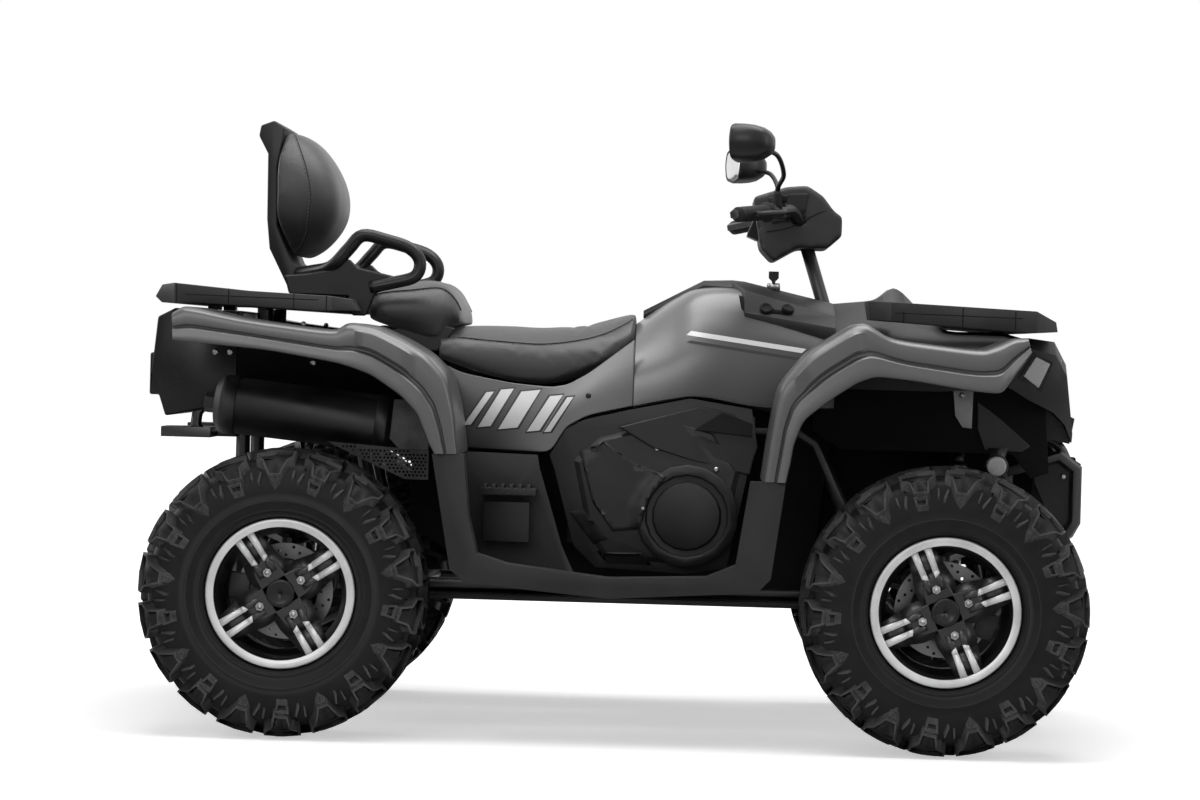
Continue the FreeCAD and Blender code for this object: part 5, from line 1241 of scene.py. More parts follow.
COLUMN_FOOT = spot(0.4585, 0, 0.0936)
COLUMN_TOP = spot(0.2937, 0, 1.186)
TANK_CUTS = [
    (0.02, [(0.1, 0.9), (0.24, 0.87), (0.34, 0.82), (0.43, 0.74), (0.45, 0.64), (0.43, 0.62), (0.3, 0.6)]),
    (0.075, [(0.11, 0.985), (0.28, 0.955), (0.38, 0.87), (0.45, 0.77), (0.465, 0.665), (0.44, 0.645),
             (0.3, 0.62)]),
    (0.126, [(0.12, 1.03), (0.31, 1.01), (0.4, 0.92), (0.46, 0.8), (0.472, 0.675), (0.45, 0.66),
             (0.3, 0.635)]),
    (0.22, [(0.12, 1.02), (0.32, 1.0), (0.41, 0.9), (0.46, 0.8), (0.472, 0.65), (0.45, 0.63), (0.3, 0.61)]),
    (0.332, [(0.12, 0.95), (0.34, 0.91), (0.43, 0.84), (0.465, 0.77), (0.465, 0.65), (0.44, 0.63),
             (0.3, 0.61)])]

HOOD_CUTS = [
    (0.3322, [(0.12, 0.985), (0.34, 0.935), (0.465, 0.84), (0.465, 0.7)]),
    (0.4, [(0.14, 1.0), (0.34, 0.925), (0.5, 0.87), (0.5, 0.7)]),
    (0.43, [(0.12, 1.055), (0.3, 0.915), (0.5, 0.86), (0.5, 0.7)]),
    (0.5, [(0.12, 0.9), (0.4, 0.88), (0.5, 0.84), (0.5, 0.7)]),
    (0.6, [(0.12, 0.903), (0.45, 0.87), (0.5, 0.84), (0.5, 0.72)])]

tank = half_loft("tank_shell", TANK_CUTS, highlit_tank_paint, "tank_cover")
cut_round(tank, COLUMN_FOOT, COLUMN_TOP, 0.024)
round_edges(tank, 3, 30, 2)
trim = moulded("tank_trim", "tank_console", black_plastic, 5, 25, 3)
hood = half_loft("hood_shell", HOOD_CUTS, black_plastic, "hood", crisp_run, crisp=True)
cut_round(hood, COLUMN_FOOT, COLUMN_TOP, 0.024)
round_edges(hood, 2.5, 35, 2)
print("tank faces:", len(tank.data.polygons))

# %% Build the side panels
PANEL_CUTS = [(-0.29, 0.57, 0.76, 0.4), (-0.25, 0.47, 0.72, 0.41), (-0.17, 0.465, 0.69, 0.425),
              (-0.108, 0.462, 0.68, 0.435), (-0.083, 0.55, 0.69, 0.44), (-0.05, 0.59, 0.73, 0.445),
              (0.0198, 0.625, 0.845, 0.445)]


def build_side_panels():
    parts = []
    for sign in SIDES:
        rings = []
        for x, low, high, y in crisp_run(PANEL_CUTS, 0.25, 3):
            outline = [(y - 0.03, low)]
            for step in range(9):
                t = step / 8
                outline.append((y + 0.008 * math.sin(math.pi * t) - 0.01 * t * t, low + (high - low) * t))
            outline.append((y - 0.03, high))
            rings.append([spot(x, sign * out, up) for out, up in outline])
        parts.append(plain_object("side_panel", skin_mesh("side_panel", rings)))
    item = merged("side_panel_shells", parts)
    # The side panels take the tank's ramp, so its painted highlight runs on across them.
    item.data.materials.append(highlit_tank_paint)
    return round_edges(attach(item, "chassis", SLOT_OF["side_panels"], "side_panels"), 3, 35, 2)


side_shells = build_side_panels()
print("side panel faces:", len(side_shells.data.polygons))

# %% [markdown]
# ## Coil springs
# A coil-over shock is a painted spring round a damper tube, with a bright rod below and a clamp ring
# above. A spring is real wire wound on a helix, so it is swept, not modelled as ribs. Its ends are
# squeezed flat against the cups, as a spring maker grinds them.

# %% Build the four shocks
def shock_ends(item):
    """The two ends of each separate shock in the CAD node: (low, high) points."""
    shape = bmesh.new()
    shape.from_mesh(item.data)
    bmesh.ops.remove_doubles(shape, verts=shape.verts, dist=5e-5)
    left = set(shape.verts)
    groups = []
    while left:
        stack, group = [left.pop()], []
        while stack:
            vertex = stack.pop()
            group.append(vertex.co.copy())
            for edge in vertex.link_edges:
                other = edge.other_vert(vertex)
                if other in left:
                    left.discard(other)
                    stack.append(other)
        groups.append(group)
    shape.free()
    ends = []
    for group in groups:
        group.sort(key=lambda co: co.z)
        ends.append((sum(group[:6], Vector()) / 6, sum(group[-6:], Vector()) / 6))
    return ends


def build_shock(number, low, high):
    line = high - low
    length = line.length
    axis, side, other = axes_of(line)
    coils, start, end = 6.5, 0.17, 0.84
    wire, coil_r = 0.0052, 0.0212
    route = []
    count = int(coils * 20)
    for step in range(count + 1):
        share = step / count
        # The first and last half turn lie flat on their cups
        rise = start + (end - start) * min(max((share * coils - 0.5) / (coils - 1), 0), 1)
        turn = 2 * math.pi * coils * share
        route.append(low + axis * (length * rise) + (side * math.cos(turn) + other * math.sin(turn)) * coil_r)
    rings = []
    for index, point in enumerate(route):
        ahead = (route[min(index + 1, count)] - route[max(index - 1, 0)]).normalized()
        out = (point - low - axis * (point - low).dot(axis)).normalized()
        up = ahead.cross(out).normalized()
        rings.append(ring(point, out, up, wire, 10))
    spring = plain_object("spring", skin_mesh("spring", rings), [spring_enamel])

    def tube(share_a, share_b, radius_a, radius_b, finish):
        rings = [ring(low + axis * (length * share), side, other, radius, 24)
                 for share, radius in ((share_a, radius_a), (share_b, radius_b))]
        return plain_object("tube", skin_mesh("tube", rings), [finish])

    parts = [spring, tube(0.0, 0.07, 0.0118, 0.0118, cast_aluminium),
             tube(0.06, 0.6, 0.0065, 0.0065, bolt_zinc),
             tube(0.12, 0.16, 0.018, 0.0262, frame_black), tube(0.45, 0.93, 0.0145, 0.0145, frame_black),
             tube(0.85, 0.885, 0.0262, 0.0262, cast_aluminium), tube(0.885, 0.93, 0.0262, 0.017, frame_black),
             tube(0.92, 1.0, 0.0118, 0.0118, cast_aluminium)]
    return merged("shock_%d" % number, parts)


shocks = [build_shock(index, low, high)
          for index, (low, high) in enumerate(shock_ends(frame["nodes"]["shock_absorbers"]))]
shock_set = merged("coil_over_shocks", shocks)
attach(shock_set, BODY_OF["shock_absorbers"], SLOT_OF["shock_absorbers"], "shock_absorbers")
print("shocks:", len(shocks), "faces:", len(shock_set.data.polygons))

# %% Round the running gear
RUNNING_GEAR = [
    ("front_arms", frame_black, 2), ("rear_arms", frame_black, 2), ("steering_stem", frame_black, 1.5),
    ("tie_rod_left", frame_black, 1.5), ("tie_rod_right", frame_black, 1.5),
                ("knuckle_left", cast_aluminium, 3),
    ("knuckle_right", cast_aluminium, 3), ("rear_hub_carriers", cast_aluminium, 3)]
mould_all(RUNNING_GEAR)

# %% [markdown]
# ## Dark inner panels: painted shade
# A real quad shows no daylight through its body. Near-black sheets, painted shade for its shaded inside,
# close the engine bay, the back of each footwell and the space under the racks. They are thin, rough
# plastic and carry no form of their own, but without them the white background glares through every seam.

# %% Close the gaps behind the panels
def side_plate(name, outline, y, thick, finish, slot="black_plastic", width_mm=1.5):
    """One flat plate on each side. The outline is in shares, and y is the share of its inner face."""
    parts = []
    for sign in SIDES:
        place = lambda u, v, depth, sign=sign: spot(u, sign * y, v) + Vector((0, sign * depth, 0))
        parts.append(prism(name, outline, 0, thick, place, [finish]))
    return round_edges(attach(merged(name, parts), "chassis", slot), width_mm, 30, 1)


def flat_deck(name, outline, z, thick, finish, slot="black_plastic"):
    """A level plate. The outline is in shares along the bike and across it."""
    place = lambda u, v, depth: spot(u, v, z) + Vector((0, 0, depth))
    return round_edges(attach(prism(name, outline, 0, thick, place, [finish]), "chassis", slot), 2, 30, 1)


# Painted shade: near-black sheets where the inside of the body lies in shadow.
side_plate("engine_bay_shade_panels", [(-0.27, 0.45), (-0.262, 0.7), (-0.05, 0.76), (0.05, 0.8), (0.32, 0.86),
                                 (0.345, 0.72),
                                 (0.3, -0.01), (0.2, -0.03), (-0.2, 0.02), (-0.33, 0.2), (-0.33, 0.45)],
           0.235, 0.003,
           liner_and_shade_plastic)
side_plate("nose_inner_shade_panels", [(0.34, 0.72), (0.34, 0.5), (0.62, 0.5), (0.66, 0.64), (0.61, 0.84),
                                 (0.4, 0.84)], 0.435,
           0.002, liner_and_shade_plastic)
plate_foot = (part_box("tie_rod_left")[1].z + 0.03 - axle_z) / BODY_RISE
side_plate("front_bay_shade_panels", [(0.3, plate_foot), (0.3, 0.6), (0.62, 0.6), (0.66, 0.5), (0.64, plate_foot)],
           0.17, 0.003,
           liner_and_shade_plastic)
print("front bay panels start at share %.3f" % plate_foot)
# Painted shade: near-black decks under the racks.
flat_deck("rear_inner_shade_deck", [(-0.69, -0.43), (-0.69, 0.43), (-0.42, 0.43), (-0.42, -0.43)], 0.845, 0.004,
          liner_and_shade_plastic)
skirt_y = (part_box("front_bumper")[1].y - 0.016) / half_width
side_plate("bumper_skirts", [(0.648, 0.506), (0.717, 0.49), (0.723, 0.431), (0.723, 0.284), (0.696, 0.242),
                             (0.673, 0.308), (0.653, 0.4)], skirt_y - 0.012, 0.005, black_plastic, width_mm=2)
flat_deck("front_inner_shade_deck", [(0.4, -0.49), (0.4, 0.49), (0.6, 0.49), (0.6, -0.49)], 0.835, 0.004,
          liner_and_shade_plastic)

# %% [markdown]
# ## Raised facets on the engine covers
# The engine covers carry shallow raised fields. Each is a few millimetres high with
# a slope at its border, so that one edge catches the light and the other falls dark. They are laid on
# the finished surface, which makes them follow its curve.

# %% Lay the facets on the covers
flare_surface = surface_tree([rear_flares, front_flares])
nose_surface = surface_tree([bpy.data.objects["front_fascia_rounded"]])
cover_surface = surface_tree([bpy.data.objects["engine_covers_rounded"]])
body_surface = surface_tree([tank, side_shells])


def laid_on_both(name, outline, surface, height_mm, finish, slot, inset_mm=4, grid_mm=14, sides=SIDES):
    parts = [laid_on(name, outline, sign, surface, height_mm, finish, slot, inset_mm,
                     grid_mm) for sign in sides]
    return merged(name, parts) if len(parts) > 1 else parts[0]


def on_surface(surface, x_share, z_share, sign, lift=0.0):
    """The place on a surface seen from the side, and its normal."""
    start = spot(x_share, 0, z_share)
    start.y = sign * 1.2
    hit, normal = surface.ray_cast(start, Vector((0, -sign, 0)))[:2]
    if hit is None:
        hit, normal = spot(x_share, sign * 0.4, z_share), Vector((0, sign, 0))
    if normal.y * sign < 0:
        normal = -normal
    return hit + normal * lift, normal


def plate_on(name, outline, surface, lift_mm, thick_mm, finish, slot, width_mm=2):
    """A flat plate on each side. It lies just above the plane through the surface's points at its corners."""
    parts = []
    for sign in SIDES:
        hits = [on_surface(surface, x, z, sign, 0)[0] for x, z in outline]
        middle = sum(hits, Vector()) / len(hits)
        normal = Vector()
        for here, after in zip(hits, hits[1:] + hits[:1]):
            normal += (here - middle).cross(after - middle)
        normal.normalize()
        if normal.y * sign < 0:
            normal = -normal
        high = max((hit - middle).dot(normal) for hit in hits)

        def place(u, v, depth, middle=middle, normal=normal, high=high):
            point = spot(u, 0, v)
            away = (point.x - middle.x) * normal.x + (point.z - middle.z) * normal.z
            return Vector((point.x, middle.y - away / normal.y, point.z)) + normal * (high + depth)

        parts.append(prism(name, outline, (lift_mm - thick_mm) / 1000, lift_mm / 1000, place, [finish]))
    return round_edges(attach(merged(name, parts), "chassis", slot), width_mm, 30, 2)


COVER_FACETS = [
    [(-0.062, 0.471), (-0.024, 0.507), (0.034, 0.431), (0.077, 0.397), (0.05, 0.316), (0.036, 0.216),
     (-0.007, 0.206),
     (-0.04, 0.304)],
    [(-0.031, 0.139), (0.04, 0.143), (0.056, 0.098), (-0.015, 0.1)],
]
for number, facet in enumerate(COVER_FACETS):
    laid_on_both("cover_facet_%d" % number, facet, cover_surface, 4, panel_plastic, "black_plastic", 5)
plate_on("cover_shroud", [(-0.002, 0.554), (0.124, 0.628), (0.21, 0.6), (0.211, 0.484), (0.203, 0.404),
                          (0.112, 0.449),
                          (0.051, 0.488)], cover_surface, 2, 22, panel_plastic, "black_plastic", 4)
# Painted shade: the intake and the slot are near-black raised plates where the cover's openings lie dark.
plate_on("cover_intake_shade_plate", [(0.116, 0.551), (0.159, 0.61), (0.206, 0.576), (0.206, 0.534)], cover_surface, 5, 8,
         gasket_and_shade_rubber, "black_plastic", 1)
laid_on_both("cover_slot_shade", [(-0.076, 0.268), (-0.053, 0.28), (-0.013, 0.183), (-0.036, 0.162)], cover_surface,
             5,
             gasket_and_shade_rubber, "black_plastic", 3)
print("facets laid:", 3 + len(COVER_FACETS))

# %% [markdown]
# ## The side graphics
# The side panel carries an angular two-tone graphic. This one is a generic design of the same scale and
# tones: slanted pale bars with a dark edge, the widest in the middle. They are vinyl about 0.1 mm thick
# and are raised 0.6 to 1 mm here, so that they do not flicker against the paint.

# %% Lay the stripes
def slanted_bar(x, z_low, z_high, width, slant):
    return [(x, z_low), (x + width, z_low + width * 0.25), (x + width + slant, z_high),
            (x + slant, z_high - width * 0.25)]


stripes = []
for number, (x, low_z, high_z, width) in enumerate([
        (-0.245, 0.545, 0.66, 0.012), (-0.222, 0.54, 0.672, 0.02), (-0.19, 0.535, 0.67, 0.03),
                                                    (-0.145, 0.53, 0.655, 0.02),
        (-0.118, 0.53, 0.65, 0.01)]):
    stripes.append(laid_on_both("stripe_edge", slanted_bar(x - 0.003, low_z - 0.006, high_z + 0.006,
                                                           width + 0.006, 0.035),
                                body_surface, 0.6, stripe_dark, "silver_paint", 0, 10))
    stripes.append(laid_on_both("stripe", slanted_bar(x, low_z, high_z, width, 0.035), body_surface, 1.0,
                                stripe_pale,
                                "silver_paint", 0, 10))
for low_z, height in ((0.815, 0.014), (0.79, 0.007)):
    stripes.append(laid_on_both("tank_stripe", [(0.1, low_z + 0.05), (0.28, low_z), (0.287, low_z + height),
                                                (0.107, low_z + 0.05 + height)], body_surface, 0.8,
                                stripe_pale if height > 0.01 else stripe_dark, "silver_paint", 0, 10))
graphics = merged("side_graphics", stripes)
print("graphic faces:", len(graphics.data.polygons))

# %% [markdown]
# ## Console and sockets
# Beside the steering stem a black console drops over the tank's shoulder. It carries a power socket and
# a switch under rubber caps on the right. A key stands in its lock on the centre line.

# %% Build the console
console = laid_on_both("console_side", [(0.18, 1.003), (0.229, 0.992), (0.279, 0.975), (0.32, 0.951),
                                        (0.328, 0.934),
                                        (0.192, 0.937), (0.184, 0.96)], body_surface, 4, liner_and_shade_plastic,
                       "black_plastic", 2, sides=(-1,))
console_surface = surface_tree([console])


def round_cap(name, centre, axis, radius, tall, finish, slot="black_plastic"):
    """A small turned cap with a raised rim, standing on a surface."""
    axis, side, other = axes_of(axis)
    profile = [(-tall * 0.5, radius), (tall * 0.7, radius), (tall, radius * 0.9), (tall, radius * 0.72),
               (tall * 0.7, radius * 0.64), (tall * 0.7, radius * 0.02)]
    rings = [ring(centre + axis * out, side, other, r, 28) for out, r in profile]
    return new_piece(name, skin_mesh(name, rings), [finish], "chassis", (), slot)


SOCKET_AT, SWITCH_AT = (0.223, 0.958), (0.257, 0.957)
for number, (x, z) in enumerate((SOCKET_AT, SWITCH_AT)):
    hit, normal = on_surface(console_surface, x, z, -1, 0.001)
    round_cap("console_cap_%d" % number, hit, normal, 0.0145, 0.007, gasket_and_shade_rubber)
console_top = surface_tree([trim, tank])
key_at = console_top.ray_cast(spot(0.236, -0.13, 1.5), Vector((0, 0, -1)))[0]
round_cap("key_lock", key_at, (0, 0, 1), 0.016, 0.014, bolt_zinc, slot="steel")
key_place = lambda u, v, depth: key_at + Vector((u, depth, v + 0.006))
key = prism("key_blade", [(-0.004, 0), (0.004, 0), (0.004, 0.012), (0.012, 0.02), (0.012, 0.036),
                          (-0.012, 0.036),
                          (-0.012, 0.02), (-0.004, 0.012)], -0.003, 0.003, key_place, [smooth_plastic])
round_edges(attach(key, "chassis", "black_plastic"), 1.5, 30, 2)

# %% [markdown]
# ## Grab handles, bar and mirrors
# These are tubes and small shells that a hand or an eye meets first. The handles are moulded round a
# steel loop and are thick. The mirrors have domed shells on curved stalks, and each shell keeps the
# model's own outline, with a smooth curve between its corners.

# %% Build the handles and the mirrors
handle_routes = []
for sign in SIDES:
    handle_routes.append([spot(-0.522, sign * 0.2, 1.04), spot(-0.49, sign * 0.33, 1.047),
                          spot(-0.456, sign * 0.44, 1.062),
                          spot(-0.43, sign * 0.455, 1.12), spot(-0.408, sign * 0.46, 1.166),
                          spot(-0.37, sign * 0.46, 1.152),
                          spot(-0.335, sign * 0.46, 1.128), spot(-0.318, sign * 0.46, 1.085),
                          spot(-0.325, sign * 0.46, 1.035), spot(-0.36, sign * 0.455, 1.012),
                          spot(-0.395, sign * 0.45, 0.996)])
side_plate("handle_feet", [(-0.522, 0.965), (-0.53, 1.03), (-0.5, 1.035), (-0.462, 1.05), (-0.43, 1.09),
                           (-0.415, 1.06),
                           (-0.36, 1.035), (-0.34, 1.005), (-0.386, 0.977), (-0.4, 0.9), (-0.424, 0.9),
                           (-0.43, 0.962)],
           0.425, 0.018, smooth_plastic, SLOT_OF["grab_handles"], 5)
side_plate("seat_skirts", [(-0.4, 0.84), (-0.3, 0.89), (-0.262, 0.866), (-0.2895, 0.788), (-0.37, 0.79)],
           0.345, 0.012,
           black_plastic, width_mm=4)
handle_parts = [sweep("handle", route, 0.0145, smooth_plastic, flatten=1.15,
                      steps=5) for route in handle_routes]
handles = merged("grab_handle_loops", handle_parts)
attach(handles, "chassis", SLOT_OF["grab_handles"], "grab_handles")

MIRROR_OUTLINE = [(-0.08, -0.5), (0.08, -0.5), (0.42, -0.4), (0.5, 0.1), (0.38, 0.5), (-0.2, 0.5),
                  (-0.46, 0.3),
                  (-0.44, -0.38)]
DOME = [(-0.27, 0.9), (-0.29, 0.965), (-0.24, 1.0), (0, 0.985), (0.25, 0.93), (0.45, 0.82), (0.6, 0.64),
        (0.7, 0.42),
        (0.745, 0.2), (0.75, 0.02)]
PANE = [(-0.262, 0.86), (-0.285, 0.86), (-0.292, 0.82)]
STEM_X = 0.2937


def mirror_ring(centre, sign, ahead, keeps):
    corners = crisp_run([MIRROR_OUTLINE[-1]] + MIRROR_OUTLINE + [MIRROR_OUTLINE[0]], 0.42, 5)[1:-1]
    return [centre + Vector((ahead * wheelbase * 0.057, sign * y * half_width * 0.2 * keeps,
                             z * BODY_RISE * 0.125 * keeps))
            for y, z in corners]


def build_mirror(sign):
    centre = spot(STEM_X - 0.109, sign * 0.82, 1.485)
    shell, pane = [plain_object(name, skin_mesh(name, [mirror_ring(centre, sign, a, k) for a, k in shape]),
                                [finish])
                   for name, shape, finish in (("mirror_shell", DOME, smooth_plastic),
                                               ("mirror_pane", PANE, mirror_glass))]
    # The rider sits between the mirrors, so each head is turned inward
    about = Matrix.Translation(centre) @ Matrix.Rotation(math.radians(20 * sign), 4,
                                                         "Z") @ Matrix.Translation(-centre)
    shell.data.transform(about)
    pane.data.transform(about)
    foot = spot(STEM_X - 0.057, sign * 0.42, 1.305)
    stalk = sweep("mirror_stalk", [foot, foot + Vector((0, 0, 0.04)), spot(STEM_X - 0.05, sign * 0.53, 1.4),
                                   spot(STEM_X - 0.062, sign * 0.68, 1.455),
                                   centre + Vector((0.03, 0, -0.012))],
                  0.0056, smooth_plastic, body="steering", steps=6)
    ball = sweep("mirror_boot", [foot - Vector((0, 0, 0.012)), foot + Vector((0, 0, 0.012)),
                                 foot + Vector((0, 0, 0.03))],
                 0.0105, grip_rubber, body="steering", steps=2)
    return [shell, stalk, ball], pane


shell_parts, panes = [], []
for sign in SIDES:
    made, pane = build_mirror(sign)
    shell_parts += made
    panes.append(pane)
mirror_shells = merged("mirror_shells", shell_parts)
mirror_panes = merged("mirror_panes", panes)
for item, node in ((mirror_shells, "mirrors"), (mirror_panes, "mirror_glass")):
    attach(item, "steering", SLOT_OF[node], node)
print("mirror faces:", len(mirror_shells.data.polygons))

# %% [markdown]
# ## The bar cover
# A padded cover hides the middle of the handlebar. Its rear face holds the display, each of its sides
# has a rubber patch, and two blocks for switches stand beside it.

# %% Dress the bar cover
def softened(item, voxel_mm, rounds):
    """Rounds a piece all over, as a thick moulded pad is: an even skin, then repeated averaging."""
    skin = item.modifiers.new("even_skin", "REMESH")
    skin.mode = "VOXEL"
    skin.voxel_size = voxel_mm / 1000
    soft = item.modifiers.new("soft", "SMOOTH")
    soft.iterations = rounds
    bake_modifiers(item)
    shade_smooth(item.data)
    return item


cowl = softened(bpy.data.objects["bar_cowl_rounded"], 6, 8)
print("cowl faces:", len(cowl.data.polygons))
cowl_surface = surface_tree([cowl])
for sign in SIDES:
    laid_on("cowl_patch", [(0.2225, 1.335), (0.262, 1.352), (0.289, 1.356), (0.284, 1.29), (0.262, 1.26),
                                   (0.23, 1.245)], sign, cowl_surface, 2.5, grip_rubber, "black_plastic", 3,
            10, "steering")
    seam = [on_surface(cowl_surface, x, z, sign, 0.0005)[0]
            for x, z in ((0.222, 1.22), (0.262, 1.24), (0.3, 1.285), (0.325, 1.3))]
    sweep("cowl_seam", seam, 0.0016, gasket_and_shade_rubber, "steering", facets=6, steps=5, slot="black_plastic")
    # The switch block and the brake reservoir on each side of the cover
    for number, (share, size_mm, finish) in enumerate(((0.34, (30, 34, 42), smooth_plastic),
                                                       (0.34, (34, 30, 16), gasket_and_shade_rubber))):
        spot_here = spot(STEM_X - 0.053, sign * (0.33 + number * 0.07), 1.29 + number * 0.035)
        place = lambda u, v, depth, c=spot_here: c + Vector((u, depth, v))
        w, d, h = [value / 2000 for value in size_mm]
        block = prism("switch_block", [(-w, -h), (w, -h), (w, h), (-w, h)], -d, d, place, [finish])
        round_edges(attach(block, "steering", "black_plastic"), 4, 30, 3)
# The display stands in the rear face, which slopes toward the rider
display_at = spot(STEM_X - 0.0885, 0, 1.25)
display_tilt = Vector((-0.92, 0, 0.39))
display_up = Vector((0.39, 0, 0.92))
display_place = lambda u, v, depth: display_at + Vector((0, u, 0)) + display_up * v + display_tilt * depth
display_frame = prism("display_frame", crisp_run([(-0.06, -0.035), (0.06, -0.035), (0.066, 0.02),
                                                  (0.045, 0.042),
                                                  (-0.045, 0.042), (-0.066, 0.02), (-0.06, -0.035)], 0.2,
                                                 3)[:-1],
                      -0.02, 0.008, display_place, [smooth_plastic])
display_glass = prism("display_glass", [(-0.052, -0.028), (0.052, -0.028), (0.055, 0.016), (0.04, 0.034),
                                        (-0.04, 0.034),
                                        (-0.055, 0.016)], 0.006, 0.0095, display_place, [smoked_lens])
for item in (display_frame, display_glass):
    round_edges(attach(item, "steering", "black_plastic"), 2, 30, 2)

# %% [markdown]
# ## Fasteners and small fittings
# Flanged bolts, plastic rivets and washers are what give a machine its scale. A bolt head is a hexagon
# of 10 or 13 mm on a washer, zinc plated. The places come from the photograph.

# %% Fit bolts, reflectors and lamp bowls
def bolt(place, normal, across_mm, finish=bolt_zinc):
    """A flanged hexagon bolt. Returns its parts."""
    axis, side, other = axes_of(normal)
    local = lambda u, v, depth: place + side * u + other * v + axis * depth
    r = across_mm / 2000
    washer = prism("washer", circle(r * 1.55, 20), -0.001, 0.0018, local, [finish])
    head = round_edges(prism("head", circle(r * 1.1, 6), 0.001, 0.0018 + r * 0.9, local, [finish]), 0.7, 40,
                       1)
    bake_modifiers(head)
    return [washer, head]


fastener_parts = []
BOLT_PLACES = [
    (body_surface, smooth_plastic, [(-0.27, 0.60), (-0.05, 0.655)]),
    (flare_surface, bolt_zinc, [(-0.605, 0.9), (-0.5, 0.868)]),
    (cover_surface, bolt_zinc, [(0.059, 0.486), (0.04, 0.289), (0.152, 0.422)])]
for sign in SIDES:
    for surface, finish, places in BOLT_PLACES:
        for x, z in places:
            hit, normal = on_surface(surface, x, z, sign, 0.0004)
            fastener_parts += bolt(hit, normal, 8, finish)
    for x, z, y in ((-0.63, 0.767, 0.52), (-0.607, 0.768, 0.52), (-0.478, 0.74, 0.5)):
        fastener_parts += bolt(spot(x, sign * y, z), (0, sign, 0), 10)
fasteners = attach(merged("body_fasteners", fastener_parts), "chassis", "steel")

# A round reflector on the nose panel, in its black cup
for sign in SIDES:
    centre = spot(0.584, sign * 0.53, 0.46)
    round_cap("reflector_cup", centre, (0, sign, 0), 0.027, 0.008, smooth_plastic)
    face_rings = [[centre + Vector((math.cos(t) * r, sign * out, math.sin(t) * r)) for t in turns(32)]
                  for out, r in ((0.004, 0.0225), (0.0085, 0.022), (0.0095, 0.018), (0.0098, 0.001))]
    new_piece("reflector_lens", skin_mesh("reflector_lens", face_rings), [marker_lens], "chassis", (), "lens")
    arm = prism("reflector_arm", [(0.575, 0.44), (0.593, 0.44), (0.6, 0.52), (0.57, 0.52)], 0, 0.004,
                lambda u, v, depth, sign=sign: spot(u, sign * 0.52, v) + Vector((0, sign * depth, 0)),
                [smooth_plastic])
    attach(arm, "chassis", "black_plastic")

# Bright bowls on the lamp's face stand for the reflectors behind it
for sign in SIDES:
    for y, r in ((0.33, 0.021), (0.41, 0.015)):
        round_cap("lamp_bowl", spot(0.6835, sign * y, 0.757), (1, 0, 0.1), r, 0.006, reflector_foil,
                  slot="lens")
print("fastener faces:", len(fasteners.data.polygons))

# %% [markdown]
# ## The pierced heat shield
# Below the silencer hangs a sheet of pierced steel that keeps hands and mud off the hot pipe. Real holes
# are about 4 mm; these are 6 mm on a 9 mm grid, staggered as a punch press leaves them, so that the
# pattern survives at this distance. The holes are true openings in the sheet.

# %% Punch the shield
TYRE_R = 0.326
HEAT_PLATE = [(-0.344, 1.353), (-0.35, 1.074), (-0.335, 1.0), (-0.289, 1.0), (-0.289, 1.288), (-0.3, 1.353)]
MESH_SHEET = [(-0.445, 1.044), (-0.289, 0.998), (-0.289, 0.794), (-0.325, 0.794), (-0.4, 0.945)]


def tyre_place(x_share, radii):
    """A point by its share of the wheelbase, and its height above the axles in tyre radii."""
    return (mid_x + wheelbase * x_share, axle_z + TYRE_R * radii)


def inside_by(outline, point, margin):
    """Whether a point is inside a clockwise outline by at least the margin."""
    for index, a in enumerate(outline):
        b = outline[(index + 1) % len(outline)]
        edge = Vector((b[0] - a[0], b[1] - a[1]))
        away = Vector((point[0] - a[0], point[1] - a[1]))
        if (away.x * edge.y - away.y * edge.x) / edge.length < margin:
            return False
    return True


def build_shields():
    low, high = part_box("heat_shields")
    sheet = [tyre_place(x, z) for x, z in MESH_SHEET]
    outlines = [sheet]
    grid, hole = 0.009, 0.003
    x_low, x_high = min(p[0] for p in sheet), max(p[0] for p in sheet)
    z_low, z_high = min(p[1] for p in sheet), max(p[1] for p in sheet)
    row = 0
    z = z_low + grid
    while z < z_high:
        x = x_low + (grid / 2 if row % 2 else 0)
        while x < x_high:
            if inside_by(sheet, (x, z), hole + 0.003):
                outlines.append(circle(hole, 6, x, z))
            x += grid
        z += grid * 0.866
        row += 1
    parts = []
    for sign, face_y in ((-1, low.y), (1, high.y)):
        place = lambda u, v, depth, sign=sign, face_y=face_y: Vector((u, face_y - sign * (0.003 - depth), v))
        parts.append(holed_sheet("pierced_sheet", outlines, 0.0015, place, plate_steel))
    right = lambda u, v, depth: Vector((u, low.y + depth, v))
    outline = [tyre_place(x, z) for x, z in HEAT_PLATE]
    plate = round_edges(prism("heat_plate", outline, 0.0, 0.004, right, [cast_aluminium]), 1.5, 30, 2)
    bake_modifiers(plate)
    item = merged("heat_shields_pierced", parts + [plate])
    attach(item, "chassis", SLOT_OF["heat_shields"], "heat_shields")
    return len(outlines) - 1


print("holes in a sheet:", build_shields())


# %% [markdown]
# ## Rack joints
# The racks are moulded in sections that meet on narrow grooves. The grooves are drawn as thin dark gasket
# lines let into the surface. They tell the eye how large the rack is, because its broad black faces have
# nothing else to measure them by.

# %% Draw the grooves
rack_surface = surface_tree([bpy.data.objects["front_rack_rounded"], bpy.data.objects["rear_rack_rounded"]])


def groove(name, points, radius_mm):
    """A thin dark line let into the rack's surface nearest to its points."""
    laid = []
    for place in curve_through(points, 8):
        hit, normal = rack_surface.find_nearest(place)[:2]
        laid.append(hit - normal * (radius_mm * 0.35 / 1000))
    return sweep(name, laid, radius_mm / 1000, gasket_and_shade_rubber, facets=6, steps=1, slot="black_plastic")


